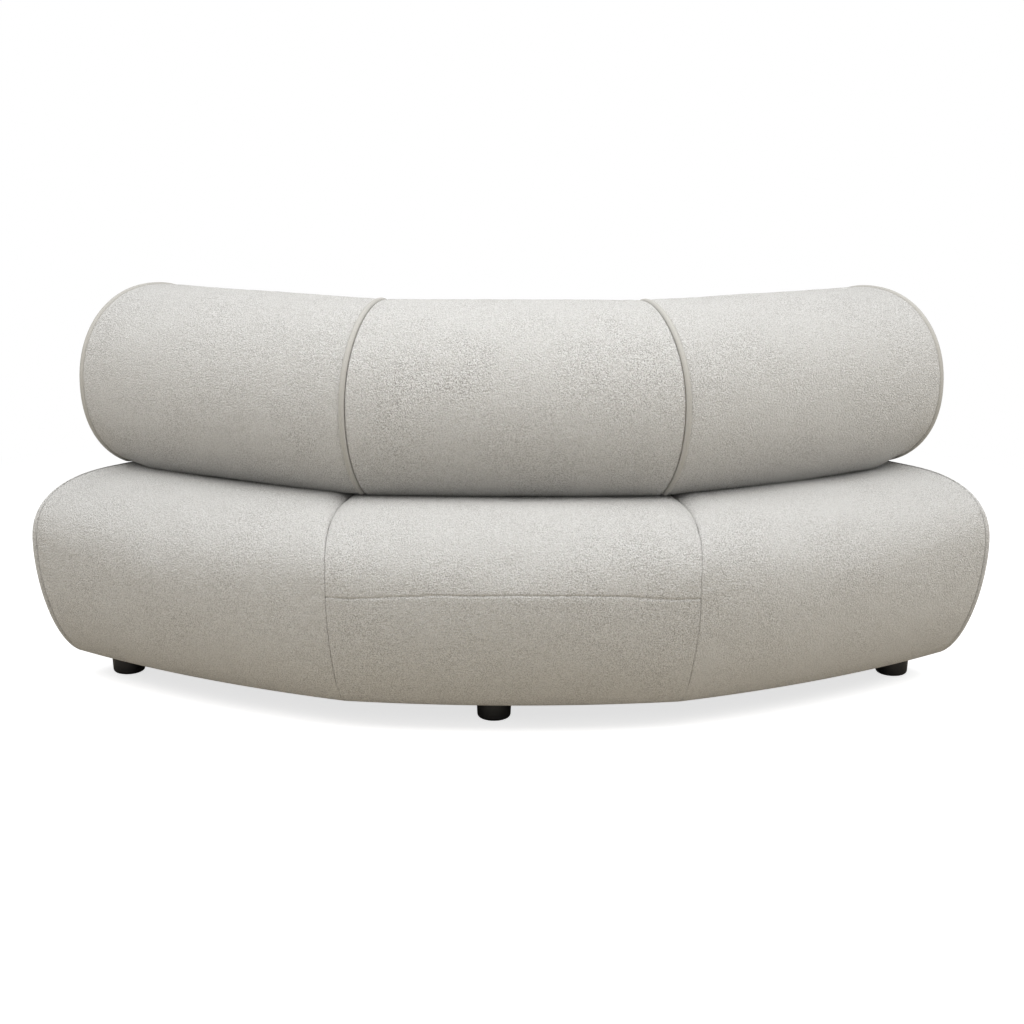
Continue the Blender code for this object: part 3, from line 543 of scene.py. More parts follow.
def outward(line, closed):
    """Unit normals of a line in (radius, height), to the right of the way it runs."""
    if closed:
        run = np.roll(line, -1, axis=0) - np.roll(line, 1, axis=0)
    else:
        run = np.gradient(line, axis=0)
    run /= np.linalg.norm(run, axis=1, keepdims=True)
    return np.stack([run[:, 1], -run[:, 0]], axis=1)


def seat_profile():
    """The seat in section, from its rear hem up over the top to its front hem."""
    rear_low, rear_high = SEAT_REAR - REAR_TUCK, SEAT_REAR - REAR_SHOULDER
    front_low, front_high = SEAT_FRONT + FRONT_TUCK, SEAT_FRONT + FRONT_SHOULDER
    rise = SEAT_TOP - WIDEST_LEVEL
    rear_tuck = superquarter(REAR_TUCK, SEAT_WIDEST, TUCK_POWER)[::-1] * (1, -1) + (rear_low, WIDEST_LEVEL)
    rear_round = superquarter(REAR_SHOULDER, rise, SHOULDER_POWER) + (rear_high, WIDEST_LEVEL)
    front_round = superquarter(FRONT_SHOULDER, rise, SHOULDER_POWER)[::-1] * (-1, 1)
    front_round = front_round + (front_high, WIDEST_LEVEL)
    front_tuck = superquarter(FRONT_TUCK, SEAT_WIDEST, TUCK_POWER) * (-1, -1) + (front_low, WIDEST_LEVEL)
    rear_hem = [(rear_low - SEAT_HEM, SEAT_LOW)]
    front_hem = [(front_low + SEAT_HEM, SEAT_LOW)]
    line = np.concatenate([rear_hem, rear_tuck, rear_round[1:], front_round, front_tuck[1:], front_hem])
    middle_drop = LEVEL_SEAM_DROP + LEVEL_SEAM_SAG / 2
    return spaced(line, PROFILE_STEP, fine_at=(SEAT_REAR, WIDEST_LEVEL - middle_drop))


def stations(first_slot, last_slot):
    """Rows across a section: their side, how far each is from that side's seam, and if it is sunk in it.

    The first two rows of a side lie at the bottom of its seam's slot, and the rest open out from its edge.
    """
    open_rows = (np.arange(SEAM_ROWS) / SEAM_ROWS) ** SEAM_ROW_SPREAD
    first = np.concatenate([[0.0, first_slot], first_slot + (SEAM_ZONE - first_slot) * open_rows])
    last = np.concatenate([[0.0, last_slot], last_slot + (SEAM_ZONE - last_slot) * open_rows])
    middle = np.linspace(-1.0, 1.0, MIDDLE_ROWS)
    shares = np.concatenate([-np.ones(len(first)), middle, np.ones(len(last))])
    distances = np.concatenate([first, np.full(MIDDLE_ROWS, SEAM_ZONE), last[::-1]])
    sunk = np.zeros(len(shares), bool)
    sunk[:SLOT_ROWS] = True
    sunk[-SLOT_ROWS:] = True
    return shares[:, None], distances[:, None], sunk[:, None]


def in_section(section, out, along, height):
    """Points of one section in the sofa's frame: out from the curve's axis, along to the left, and up."""
    turn = SECTIONS[section] * SECTION_TURN
    x = out * math.sin(turn) + along * math.cos(turn)
    y = out * math.cos(turn) - along * math.sin(turn) + AXIS_Y
    return np.stack(np.broadcast_arrays(x, y, height), axis=-1)


def smooth_step(value, low, high):
    """A rise from 0 at a low value to 1 at a high one that starts and ends level."""
    share = np.clip((value - low) / (high - low), 0.0, 1.0)
    return share * share * (3 - 2 * share)


def drawn(distance, edge, width):
    """How far the fabric dips at a distance from the edge of a seam's slot, which it rounds over."""
    share = np.clip(1 - distance / width, 0.0, 1.0)
    return edge * (1 - np.sqrt(1 - share * share))


def end_seam_shift(height):
    """How far in from the seat's end its seam lies: a little on the wall, and not at all at the top."""
    return END_SEAM_SHIFT * (1 - smooth_step(height, END_SEAM_STRAIGHT, SEAT_TOP))


def end_lift(section, from_end):
    """How much higher the seat stands towards an end: the right one is packed a little fuller."""
    return END_LIFTS[section] * (1 - smooth_step(from_end, 0.0, END_LIFT_REACH))


def seat_flare(radius, height):
    """How far the seat's inner seams stray outward on top: most under the roll, less to the front."""
    on_top = smooth_step(height, WIDEST_LEVEL, WIDEST_LEVEL + SEAM_FLARE_RISE)
    from_wall = 1 - np.exp(-np.maximum(SEAT_REAR - radius, 0.0) / SEAM_FLARE_REACH)
    return SEAM_FLARE * on_top * from_wall * smooth_step(radius, SEAM_FLARE_FROM, SEAM_FLARE_FULL)


def stray(turns, bulges):
    """How far an inner seam strays to the left of its plane, from the left and right seams' bulges."""
    return bulges[0] if turns > 0 else -bulges[1]


def bulged(section, out, along, half, bulges):
    """Points of a cover moved sideways near the inner seams, where the middle section bulges out."""
    for side in (-1, 1):
        turns = SECTIONS[section] + side / 2
        if abs(turns) < 1:
            shift = stray(turns, bulges) * np.exp(-((half - side * along) / BULGE_REACH) ** 2)
            along = along + shift * math.cos(HALF_TURN)
            out = out - side * shift * math.sin(HALF_TURN)
    return out, along


def seat_grid(section, inset):
    """The outer face of a seat cover, in rows across and columns over the top, drawn in at its seams."""
    line = seat_profile()
    normals = outward(line, closed=False)
    shares, distances, sunk = stations(SEAM_SLOT, SEAM_SLOT)
    radius, height = line[None, :, 0], line[None, :, 1]
    deeper = smooth_step(radius, SEAM_TOP_FROM, SEAM_TOP_FULL)
    deeper = deeper * smooth_step(height, SEAM_TOP_LEVEL, SEAT_TOP)
    edge = SEAM_WALL_EDGE + (SEAM_TOP_EDGE - SEAM_WALL_EDGE) * deeper
    width = SEAM_WALL_WIDTH + (SEAM_TOP_WIDTH - SEAM_WALL_WIDTH) * deeper
    at_end = (shares * SECTIONS[section] == 1.0) & (distances < SEAM_ZONE)
    edge = np.where(at_end, SEAM_WALL_EDGE, edge)
    width = np.where(at_end, SEAM_WALL_WIDTH, width)
    pull = np.where(sunk, SEAM_DEPTH, drawn(distances - SEAM_SLOT, edge, width))
    distances = distances + np.where(at_end, end_seam_shift(height) * (1 - distances / SEAM_ZONE), 0.0)
    pull = (pull + inset * ~sunk) * np.clip((height - SEAT_LOW) / SEAM_FADE, 0.0, 1.0)
    if section == "centre":
        pull = pull + level_seam(radius, height, shares)
    radius = radius - normals[None, :, 0] * pull
    height = height - normals[None, :, 1] * pull
    half = radius * math.sin(HALF_TURN)
    along = shares * (half - distances)
    swell = 1 - (along / half) ** 2
    along = along + seam_wander(section, line, shares, distances)
    forward = (SEAT_REAR - radius) / (SEAT_REAR - SEAT_FRONT)
    bow = SEAT_REAR_BOW - (SEAT_REAR_BOW + SEAT_FRONT_BOW) * forward
    sitting = np.clip((radius - SEAT_FRONT) / (ROLL_RADIUS - ROLL_HALF - SEAT_FRONT), 0.0, 1.0)
    on_top = smooth_step(height, WIDEST_LEVEL, SEAT_TOP)
    crown = SEAT_CROWN * np.sin(math.pi * sitting) * swell * on_top
    lift = end_lift(section, half - along * SECTIONS[section]) * on_top
    flare = seat_flare(line[None, :, 0], line[None, :, 1])
    out = radius * math.cos(HALF_TURN) + bow * swell
    out, along = bulged(section, out, along, half, (flare, flare))
    return in_section(section, out, along, height + crown + lift)


def seam_wander(section, line, shares, distances):
    """How far a hand-guided seam wanders to one side along its length, with the fabric beside it."""
    places = [Vector((radius, height, 0.0)) / SEAM_WANDER_LENGTH for radius, height in line]
    settled = smooth_step(line[:, 1], SEAT_LOW, SEAT_LOW + SEAM_FADE)
    shifts = np.zeros((len(shares), len(line)))
    for side in (-1, 1):
        seam = Vector((0.0, 0.0, SEAM_WANDER_SEED * (SECTIONS[section] + side / 2)))
        wander = np.array([noise.noise(spot + seam) for spot in places]) * settled * SEAM_WANDER
        shifts += (shares == side) * np.exp(-distances / SEAM_WANDER_REACH) * wander[None, :]
    return shifts


def level_seam(radius, height, shares):
    """How far the level seam draws the middle cover in: a tight crease in a shallow dip, a little wavy."""
    half = SEAT_REAR * math.sin(HALF_TURN) / LEVEL_SEAM_WAVE
    waves = [noise.noise(Vector((share * half, *LEVEL_SEAM_SEED))) for share in shares[:, 0]]
    wander = LEVEL_SEAM_WANDER * np.array(waves)[:, None]
    off = height - WIDEST_LEVEL + LEVEL_SEAM_DROP + LEVEL_SEAM_SAG * shares ** 2 - wander
    crease = LEVEL_SEAM_DEPTH * np.exp(-(off / LEVEL_SEAM_WIDTH) ** 2)
    dip = LEVEL_SEAM_DIP_DEPTH * np.exp(-(off / (LEVEL_SEAM_DIP / 2)) ** 2)
    return (crease + dip) * (radius > (SEAT_REAR + SEAT_FRONT) / 2)


def grid_faces(rows, columns, wrap):
    """Faces of a grid of points that faces outward, its columns closed into a ring or left open."""
    faces = []
    for row in range(rows - 1):
        for column in range(columns if wrap else columns - 1):
            after = (column + 1) % columns
            here, there = row * columns, (row + 1) * columns
            faces.append((here + column, here + after, there + after, there + column))
    return faces


def end_caps(rows, columns):
    """Faces that close the first and last row of a grid whose rows are rings, facing outward."""
    return [tuple(range(columns))[::-1], tuple(range((rows - 1) * columns, rows * columns))]


def uneven(grid, normals, distances):
    """Soft lumps of the wadding, and the small puckers that run out from each sewn edge."""
    points = grid.reshape(-1, 3)
    lumps = [noise.noise(Vector(point) / LUMP_SIZE) for point in points]
    puckers = [noise.noise(Vector(point) / PUCKER_SPACING) for point in points]
    lumps = np.array(lumps).reshape(grid.shape[:2])
    puckers = np.array(puckers).reshape(grid.shape[:2])
    reach = distances / PUCKER_REACH
    near = reach * np.exp(1 - reach)
    settled = smooth_step(grid[..., 2], SEAT_LOW, SEAT_LOW + SEAM_FADE)
    clear = np.clip(distances / LUMP_CLEAR, 0.0, 1.0)
    shift = (LUMP * lumps * clear + PUCKER * puckers * near) * settled
    return grid + normals * shift[..., None]


def grid_normals(grid, wrap):
    """Unit normals of a grid of points, outward for the way its rows and columns run."""
    if wrap:
        down = np.roll(grid, -1, axis=1) - np.roll(grid, 1, axis=1)
    else:
        down = np.gradient(grid, axis=1)
    cross = np.cross(down, np.gradient(grid, axis=0))
    return cross / np.linalg.norm(cross, axis=2, keepdims=True)


def marks_along(grid, axis):
    """How far along a grid each of its rows or columns lies, on average."""
    gaps = np.linalg.norm(np.diff(grid, axis=axis), axis=2).mean(axis=1 - axis)
    return np.concatenate([[0.0], np.cumsum(gaps)])


def coarser(grid, axis):
    """A copy of a grid with even, coarse steps along its rows or columns, and where these lie."""
    marks = marks_along(grid, axis)
    steps = np.linspace(0.0, marks[-1], round(marks[-1] / SWELL_STEP) + 1)
    return np.apply_along_axis(lambda line: np.interp(steps, marks, line), axis, grid), steps


def spread_weights(marks, steps):
    """How much the movement at each coarse step counts at each mark along a grid, fading smoothly."""
    near = np.exp(-((steps[:, None] - marks[None, :]) / SWELL_STEP) ** 2)
    return near / near.sum(axis=0)


def padding_bag(name, coarse, wrap, held):
    """A closed bag with a cover's coarse shape, as cloth under pressure that is held at some points."""
    rows, columns = coarse.shape[:2]
    faces = grid_faces(rows, columns, wrap) + end_caps(rows, columns)
    if not wrap:
        lows = [row * columns for row in range(rows)]
        faces += [(low, low + columns, low + 2 * columns - 1, low + columns - 1) for low in lows[:-1]]
    mesh = bpy.data.meshes.new(name)
    mesh.from_pydata(coarse.reshape(-1, 3).tolist(), [], faces)
    bag = bpy.data.objects.new(name, mesh)
    bpy.context.scene.collection.objects.link(bag)
    pins = bag.vertex_groups.new(name="held")
    pins.add(np.nonzero(held.reshape(-1))[0].tolist(), 1.0, "REPLACE")
    cloth = bag.modifiers.new("swell", "CLOTH").settings
    cloth.quality = CLOTH_QUALITY
    cloth.mass = CLOTH_MASS
    cloth.tension_stiffness = CLOTH_STRETCH
    cloth.compression_stiffness = CLOTH_STRETCH
    cloth.shear_stiffness = CLOTH_SHEAR
    cloth.bending_stiffness = CLOTH_BEND
    cloth.shrink_min = -SWELL_SLACK
    cloth.vertex_group_mass = "held"
    cloth.use_pressure = True
    cloth.uniform_pressure_force = SWELL_PRESSURE
    cloth.effector_weights.gravity = 0.0
    return bag


def swelled(grids, wrap, resting):
    """Each cover after its padding has swelled it out, by a cloth simulation of a coarse copy.

    The copies are held at their seams and where they rest, so the fabric between is what fills out.
    """
    scene = bpy.context.scene
    bags = []
    for section, grid in zip(SECTIONS, grids):
        rows_thinned, rows = coarser(grid[SLOT_ROWS:-SLOT_ROWS], 0)
        coarse, columns = coarser(rows_thinned, 1)
        held = resting(coarse)
        held[[0, -1]] = True
        held[:, [0, -1]] = True
        bags.append((padding_bag("swell_" + section, coarse, wrap, held), coarse, rows, columns))
    for step in range(1, SWELL_FRAMES + 1):
        scene.frame_set(step)
    graph = bpy.context.evaluated_depsgraph_get()
    filled = []
    for grid, (bag, coarse, rows, columns) in zip(grids, bags):
        after = np.empty(coarse.size, np.float32)
        bag.evaluated_get(graph).data.vertices.foreach_get("co", after)
        moved = after.reshape(coarse.shape) - coarse
        length = np.linalg.norm(moved, axis=2, keepdims=True)
        moved *= SWELL_LIMIT / np.maximum(length, SWELL_LIMIT)
        row_marks = marks_along(grid[SLOT_ROWS:-SLOT_ROWS], 0)
        down = spread_weights(row_marks, rows)
        across = spread_weights(marks_along(grid, 1), columns)
        from_seam = np.minimum(row_marks, row_marks[-1] - row_marks)
        down *= smooth_step(from_seam, 0.0, SWELL_SEAM)
        spread = np.einsum("ir,ijk,jc->rck", down, moved, across)
        filled.append(grid + np.pad(spread, ((SLOT_ROWS, SLOT_ROWS), (0, 0), (0, 0))))
    for bag, *_ in bags:
        mesh = bag.data
        bpy.data.objects.remove(bag)
        bpy.data.meshes.remove(mesh)
    scene.frame_set(1)
    return filled


def with_hole(grid, faces, centre, radius, low, high):
    """Cuts a round hole for a post through a cover between two heights, with its edge on the circle."""
    points = grid.reshape(-1, 3).copy()
    from_axis = np.linalg.norm(points[:, :2] - np.array(centre), axis=1)
    level = (points[:, 2] > low) & (points[:, 2] < high)
    inside = level & (from_axis < radius)
    kept = [face for face in faces if not inside[list(face)].any()]
    edge = {index for face in faces if inside[list(face)].any() for index in face if not inside[index]}
    edge = np.array(sorted(edge))
    away = points[edge, :2] - np.array(centre)
    points[edge, :2] = centre + away * (radius / from_axis[edge])[:, None]
    used = np.unique(np.array(kept))
    renumber = np.zeros(len(points), int)
    renumber[used] = np.arange(len(used))
    return points[used], [tuple(int(renumber[index]) for index in face) for face in kept]


def sewn_cover(name, section, grid, wrap, slots, hole, body, node):
    """A cover from its outer face, as thick as fabric and wadding, with a post hole between two heights."""
    distances = stations(*slots)[1]
    grid = uneven(grid, grid_normals(grid, wrap), distances)
    post = sum(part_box("backrest_post_" + section), Vector()) / 2
    faces = grid_faces(*grid.shape[:2], wrap)
    points, faces = with_hole(grid, faces, (post.x, post.y), POST_HOLE, *hole)
    cover = piece(name, points, faces, boucle, body, "fabric", node)
    layer = cover.modifiers.new("fabric", "SOLIDIFY")
    layer.thickness = FABRIC_THICKNESS
    layer.offset = -1.0
    layer.use_rim = True
    return cover


def seat_resting(points):
    """Where a seat cover is held: stapled along its hem, and pressed under the backrest."""
    from_axis = np.hypot(points[..., 0], points[..., 1] - AXIS_Y)
    pressed = (np.abs(from_axis - ROLL_RADIUS) < UNDER_ROLL) & (points[..., 2] > WIDEST_LEVEL)
    return pressed | (points[..., 2] < SEAT_LOW + SEAM_FADE / 2)


seat_grids = [seat_grid(section, SEAT_INSET) for section in SECTIONS]
for section, grid in zip(SECTIONS, swelled(seat_grids, False, seat_resting)):
    cover = sewn_cover("seat_upholstery_" + section, section, grid, False, (SEAM_SLOT, SEAM_SLOT),
                       (WIDEST_LEVEL, SEAT_TOP + SEAT_CROWN), "seat_base", "seat_cover_" + section)

# Seat end panels: a shaped boucle panel closes each end of the seat, sewn to the cover along its
# edge with a plain seam and filled out to a shallow dome by wadding.
PANEL_RIM = 0.004
PANEL_DOME = 0.010
PANEL_EDGE = 0.004
PANEL_EDGE_STEPS = 6
PANEL_SEAM = 0.001
PANEL_RINGS = 12
END_TURNS = 1.5
ENDS = {"left": 1, "right": -1}


def end_panel(name, line, side, shift, body, node):
    """A domed panel on the outside of an end plane, from its outline and how far inside it is sewn.

    The shift is one value, or one for each point of the outline.
    """
    turn = side * END_TURNS * SECTION_TURN
    outwards = np.array([math.cos(turn), -math.sin(turn), 0.0]) * side
    middle = line.mean(axis=0)
    inwards = outward(line, closed=True)
    rounds = np.linspace(0.0, math.pi / 2, PANEL_EDGE_STEPS)
    shares = np.cos(np.linspace(0.0, math.pi / 2, PANEL_RINGS + 1))[1:-1]
    flat_rings = [(line + inwards * SEAM_DEPTH, -shift), (line + inwards * PANEL_SEAM, -shift)]
    for angle in rounds:
        rounded = line + inwards * PANEL_EDGE * (1 - math.cos(angle))
        flat_rings.append((rounded, PANEL_EDGE * math.sin(angle)))
    last, level = flat_rings[-1]
    crest = PANEL_DOME + PANEL_RIM - level
    rises = level + crest * np.sqrt(1 - shares * shares)
    rings = flat_rings + [(middle + (last - middle) * share, rise) for share, rise in zip(shares, rises)]
    points = []
    for ring, rise in rings:
        radius, height = ring.T
        flat = np.stack([radius * math.sin(turn), radius * math.cos(turn) + AXIS_Y, height], axis=1)
        points += list(flat + outwards * np.reshape(rise, (-1, 1)))
    faces = grid_faces(len(rings), len(line), wrap=True) + end_caps(len(rings), len(line))
    if side < 0:
        faces = [face[::-1] for face in faces]
    panel = piece(name, points, faces, boucle, body, "fabric", node)


for end, side in ENDS.items():
    outline = seat_profile()[::-1]
    shift = end_seam_shift(outline[:, 1])
    outline[:, 1] += end_lift(end, 0.0) * smooth_step(outline[:, 1], WIDEST_LEVEL, SEAT_TOP)
    end_panel("seat_end_" + end, outline, side, shift, "seat_base", "seat_end_panel_" + end)

# Backrest rolls: three fat bolsters end to end, mitred like the seat and flattened where they lie on
# it. Foam round a timber spine fills each boucle tube out, so that only its seams draw in.
ROLL_POWER = 2.14
ROLL_POINTS = 400
ROLL_FLATTEN = 0.0145
ROLL_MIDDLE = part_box("back_cover_centre")[0].z + ROLL_HALF - ROLL_FLATTEN
ROLL_GAP = 0.0003
ROLL_REST = SEAT_TOP + ROLL_GAP
ROLL_INSET = 0.0004
ROLL_SETTLE = 0.020
ROLL_SETTLE_ENDS = {"left": 0.005, "centre": ROLL_SETTLE, "right": -0.007}
ROLL_SETTLE_REACH = 0.090
ROLL_SLOT = 0.0011
ROLL_EDGE = 0.0024
ROLL_EDGE_WIDTH = 0.008
WELT_RADIUS = 0.0055
WELT_SUNK = 0.0030
WELT_GRIP = 0.001
WELT_SLOT = 2 * WELT_RADIUS - WELT_GRIP
WELT_EDGE = 0.0022
# The slots at the right and left of each roll: a wide one holds the piping that is sewn to its cover.
ROLL_SLOTS = {
    "left": (WELT_SLOT, ROLL_SLOT), "centre": (ROLL_SLOT, ROLL_SLOT), "right": (ROLL_SLOT, WELT_SLOT),
}
ROLL_BULGES = ((0.004, 0.014), (0.010, 0.020))


def roll_profile():
    """The roll in section before it settles, as a closed rounded square."""
    turns = np.linspace(0.0, -math.tau, ROLL_POINTS, endpoint=False) - math.pi / 2
    across = np.sign(np.cos(turns)) * np.abs(np.cos(turns)) ** (2 / ROLL_POWER)
    up = np.sign(np.sin(turns)) * np.abs(np.sin(turns)) ** (2 / ROLL_POWER)
    line = np.stack([ROLL_RADIUS + ROLL_HALF * across, ROLL_MIDDLE + ROLL_HALF * up], axis=1)[::-1]
    ring = spaced(np.concatenate([line, line[:1]]), PROFILE_STEP)
    return ring[:-1]


def roll_bulges(height):
    """How far the roll's left and right seams stray outward: most halfway up, inward at top and foot."""
    share = (height - ROLL_MIDDLE) / ROLL_HALF
    return [middle - fall * share ** 2 for middle, fall in ROLL_BULGES]


def roll_grid(section, inset):
    """The outer face of a roll's cover as rows across and columns round it, drawn in at its seams."""
    line = roll_profile()
    normals = outward(line, closed=True)
    shares, distances, sunk = stations(*ROLL_SLOTS[section])
    beside_welt = (shares * SECTIONS[section] == -1.0) & (distances < SEAM_ZONE)
    slots = np.where(beside_welt, WELT_SLOT, ROLL_SLOT)
    edge = np.where(beside_welt, WELT_EDGE, ROLL_EDGE)
    pull = np.where(sunk, SEAM_DEPTH, drawn(distances - slots, edge, ROLL_EDGE_WIDTH) + inset)
    radius = line[None, :, 0] - normals[None, :, 0] * pull
    height = line[None, :, 1] - normals[None, :, 1] * pull
    half = radius * math.sin(HALF_TURN)
    along = shares * (half - distances)
    swell = 1 - (along / half) ** 2
    from_end = half - along * SECTIONS[section] if SECTIONS[section] else half
    height = settled_height(height, from_end, section)
    out = radius * math.cos(HALF_TURN) + ROLL_BOW * swell
    out, along = bulged(section, out, along, half, roll_bulges(line[None, :, 1]))
    return in_section(section, out, along, height)


def settled_height(height, from_end, section):
    """Heights of a roll that sags by its own weight, less at its free ends, and lies flat on the seat."""
    at_end = ROLL_SETTLE_ENDS[section]
    sag = at_end + (ROLL_SETTLE - at_end) * smooth_step(from_end, 0.0, ROLL_SETTLE_REACH)
    lower = ROLL_MIDDLE - (ROLL_MIDDLE - height) * (1 + sag / ROLL_HALF)
    rest = ROLL_REST + end_lift(section, from_end)
    return np.where(height < ROLL_MIDDLE, np.maximum(lower, rest), height)


def roll_resting(points):
    """Where a roll is held flat by the seat under it."""
    return points[..., 2] < ROLL_REST + LUMP + max(END_LIFTS.values())


roll_grids = [roll_grid(section, ROLL_INSET) for section in SECTIONS]
for section, grid in zip(SECTIONS, swelled(roll_grids, True, roll_resting)):
    cover = sewn_cover("roll_upholstery_" + section, section, grid, True, ROLL_SLOTS[section],
                       (ROLL_REST - LUMP, ROLL_MIDDLE), "backrest", "back_cover_" + section)

# Backrest end panels: round boucle panels that close the two ends of the backrest, sewn in with the
# piping and domed by wadding.
roll_end = roll_profile()
roll_end = roll_end - outward(roll_end, closed=True) * WELT_EDGE
for end, side in ENDS.items():
    outline = np.stack([roll_end[:, 0], settled_height(roll_end[:, 1], 0.0, end)], axis=1)
    end_panel("roll_end_" + end, outline[::-1], side, 0.0, "backrest", "back_end_panel_" + end)

# Piping: a cord in a bias-cut strip of the same cloth, sewn into the seams of the backrest and round
# its ends. The strip is pulled tight over the cord, so its loops lie flat and it looks smoother. Its
# cloth is tinted darker than the rest, which is painted shade along the welts.
PIPING_SIDES = 14
PIPING_RIB = 0.0022
END_PIPING_ASIDE = WELT_RADIUS / 2
SEAM_TURNS = {"left_end": END_TURNS, "left_seam": 0.5, "right_seam": -0.5, "right_end": -END_TURNS}

# Stretched boucle strip: the same yarn, flattened and finer, and tinted darker as painted shade.
painted_shade_piping_cloth, tree, place = new_finish("bias cut piping cloth with painted shade")
threads = add_node(tree, "ShaderNodeTexNoise", {"Vector": place, "Scale": 1 / PIPING_RIB, "Detail": 2.0})
# Both tones are darker than the cover's yarn: painted shade on the piping.
tint = add_node(tree, "ShaderNodeMix", {
    "Factor": threads.outputs["Fac"], "A": linear("#9d9b95"), "B": linear("#b7b5b0"),
}, data_type="RGBA")
weave = add_node(tree, "ShaderNodeBump", {
    "Height": threads.outputs["Fac"], "Strength": 0.35, "Distance": 0.0008,
})
shader = add_node(tree, "ShaderNodeBsdfPrincipled", {
    "Base Color": tint.outputs["Result"], "Roughness": 0.9, "Sheen Weight": 0.15, "Sheen Roughness": 0.45,
    "Sheen Tint": linear("#fbf9f4"), "Specular IOR Level": 0.25, "Normal": weave.outputs["Normal"],
})
add_node(tree, "ShaderNodeOutputMaterial", {"Surface": shader.outputs["BSDF"]})


def piping_ring(line, turn, asides):
    """Points and faces of a piping cord along a closed line in a seam's plane, each point set aside."""
    along = np.array([math.cos(turn), -math.sin(turn), 0.0])
    normals = outward(line, closed=True)
    points = []
    for (radius, height), (facing_out, facing_up), aside in zip(line, normals, asides):
        centre = np.array([radius * math.sin(turn), radius * math.cos(turn) + AXIS_Y, height])
        centre = centre + along * aside
        facing = np.array([facing_out * math.sin(turn), facing_out * math.cos(turn), facing_up])
        for step in range(PIPING_SIDES):
            angle = math.tau * step / PIPING_SIDES
            points.append(centre + WELT_RADIUS * (facing * math.cos(angle) + along * math.sin(angle)))
    faces = tube_faces(len(line), PIPING_SIDES)
    return points, faces


for seam, turns in SEAM_TURNS.items():
    line = roll_profile()
    if abs(turns) < 1:
        section = "centre"
        from_end = ROLL_SETTLE_REACH
        asides = math.copysign(WELT_RADIUS, turns) + stray(turns, roll_bulges(line[:, 1]))
    else:
        section = seam.split("_")[0]
        from_end = 0.0
        asides = np.full(len(line), math.copysign(END_PIPING_ASIDE, turns))
    line = line - outward(line, closed=True) * WELT_SUNK
    line[:, 1] = settled_height(line[:, 1], from_end, section)
    line[:, 1] = np.maximum(line[:, 1], ROLL_REST + end_lift(section, from_end) + WELT_RADIUS)
    points, faces = piping_ring(line, turns * SECTION_TURN, asides)
    piece("piping_" + seam, points, faces, painted_shade_piping_cloth, "backrest", "piping", "back_welt_" + seam)

# Studio: a white floor that runs out of sight, an even white room and one wide soft lamp overhead,
# and the camera behind the sofa, a little above it.
CAMERA_PLACE = (0.030, 3.362, 1.163)
CAMERA_PITCH = math.radians(75.65)
CAMERA_ROLL = math.radians(-0.3)
CAMERA_TURN = math.radians(179.544)
CAMERA_LENS = 59.60
FLOOR_HALF = 40.0
LAMP_PLACE = (-0.7, 1.08, 2.25)
LAMP_SIZE = (7.6, 1.6)
LAMP_POWER = 131.0
ROOM_LIGHT = 0.47
FLOOR_GLOW = 0.72
FLOOR_NEAR = 1.3
FLOOR_FAR = 2.4
WHITE = linear("#ffffff")

# Matt painted floor: the camera sees it near white with the sofa's shadow on it, fading to pure white
# further out. To the sofa it is a plain warm paint that sends some of the light back up.
white_floor, tree, place = new_finish("matt white floor")
rays = add_node(tree, "ShaderNodeLightPath")
paint = add_node(tree, "ShaderNodeBsdfDiffuse", {"Color": linear("#c4bbab")})
plain = add_node(tree, "ShaderNodeBsdfDiffuse", {"Color": linear("#d4d4d4")})
glow = add_node(tree, "ShaderNodeEmission", {"Color": WHITE, "Strength": FLOOR_GLOW})
lifted = add_node(tree, "ShaderNodeAddShader", {0: plain.outputs["BSDF"], 1: glow.outputs["Emission"]})
sweep = add_node(tree, "ShaderNodeEmission", {"Color": WHITE, "Strength": 1.0})
away = add_node(tree, "ShaderNodeVectorMath", {0: place}, operation="LENGTH")
far = add_node(tree, "ShaderNodeMapRange", {
    "Value": away.outputs["Value"], "From Min": FLOOR_NEAR, "From Max": FLOOR_FAR,
}, interpolation_type="SMOOTHSTEP")
seen = add_node(tree, "ShaderNodeMixShader", {
    0: far.outputs["Result"], 1: lifted.outputs["Shader"], 2: sweep.outputs["Emission"],
})
chosen = add_node(tree, "ShaderNodeMixShader", {
    0: rays.outputs["Is Camera Ray"], 1: paint.outputs["BSDF"], 2: seen.outputs["Shader"],
})
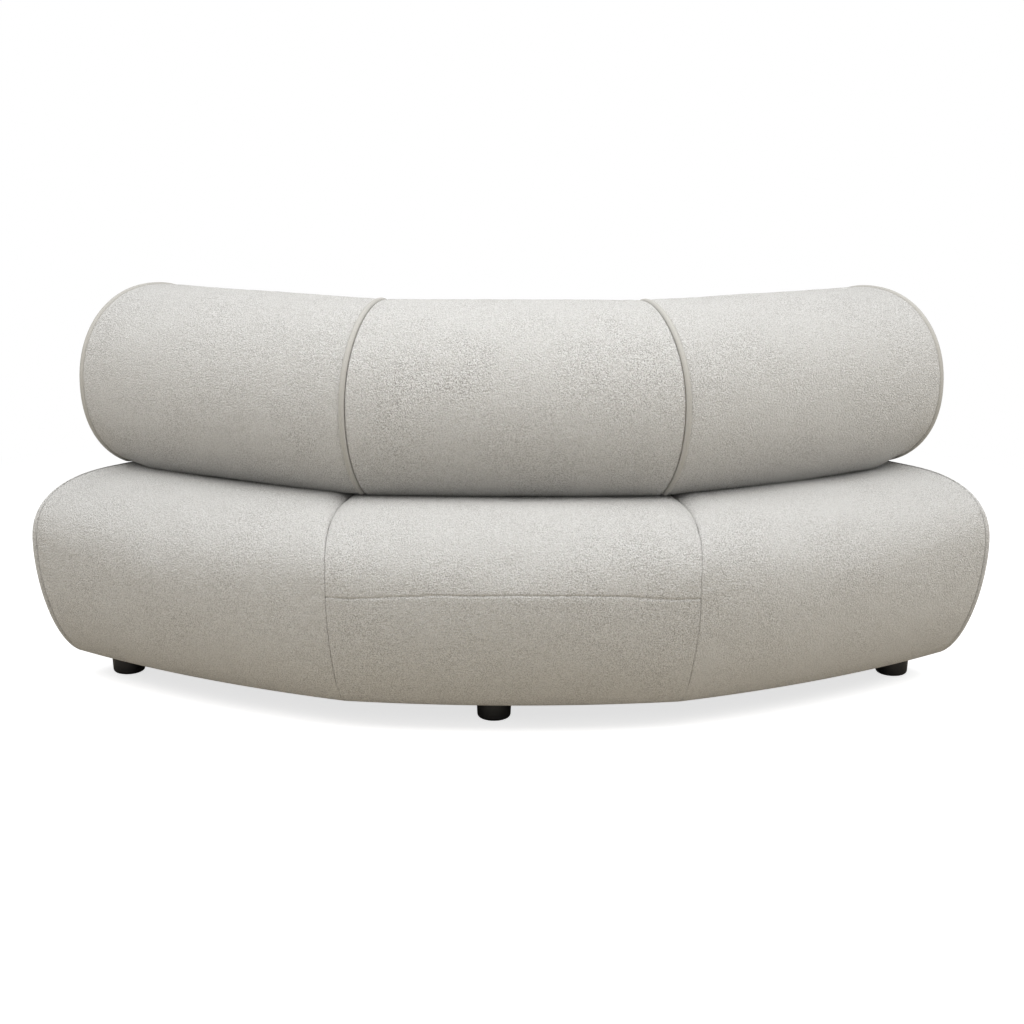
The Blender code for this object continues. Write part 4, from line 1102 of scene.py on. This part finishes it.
add_node(tree, "ShaderNodeOutputMaterial", {"Surface": chosen.outputs["Shader"]})
corners = [(-FLOOR_HALF, -FLOOR_HALF, 0), (FLOOR_HALF, -FLOOR_HALF, 0), (FLOOR_HALF, FLOOR_HALF, 0),
           (-FLOOR_HALF, FLOOR_HALF, 0)]
floor_mesh = bpy.data.meshes.new("studio_floor")
floor_mesh.from_pydata(corners, [], [(0, 1, 2, 3)])
floor_mesh.materials.append(white_floor)
floor = bpy.data.objects.new("studio_floor", floor_mesh)
bpy.context.scene.collection.objects.link(floor)

room = bpy.data.worlds.new("white room")
room.use_nodes = True
room.node_tree.nodes.clear()
tree = room.node_tree
rays = add_node(tree, "ShaderNodeLightPath")
sharp = add_node(tree, "ShaderNodeMath", {
    0: rays.outputs["Is Camera Ray"], 1: rays.outputs["Is Glossy Ray"],
}, operation="MAXIMUM")
clear = add_node(tree, "ShaderNodeMath", {
    0: sharp.outputs["Value"], 1: rays.outputs["Is Transmission Ray"],
}, operation="MAXIMUM")
level = add_node(tree, "ShaderNodeMapRange", {
    "Value": clear.outputs["Value"], "To Min": ROOM_LIGHT, "To Max": 1.0,
})
walls = add_node(tree, "ShaderNodeBackground", {"Color": WHITE, "Strength": level.outputs["Result"]})
add_node(tree, "ShaderNodeOutputWorld", {"Surface": walls.outputs["Background"]})
bpy.context.scene.world = room

lamp_data = bpy.data.lights.new("overhead_softbox", "AREA")
lamp_data.shape = "RECTANGLE"
lamp_data.size, lamp_data.size_y = LAMP_SIZE
lamp_data.energy = LAMP_POWER
lamp = bpy.data.objects.new("overhead_softbox", lamp_data)
lamp.location = LAMP_PLACE
bpy.context.scene.collection.objects.link(lamp)

camera_data = bpy.data.cameras.new("rear_view")
camera_data.lens = CAMERA_LENS
camera = bpy.data.objects.new("rear_view", camera_data)
camera.location = CAMERA_PLACE
camera.rotation_euler = (CAMERA_PITCH, CAMERA_ROLL, CAMERA_TURN)
bpy.context.scene.collection.objects.link(camera)
bpy.context.scene.camera = camera
bpy.context.scene.view_settings.view_transform = "Standard"
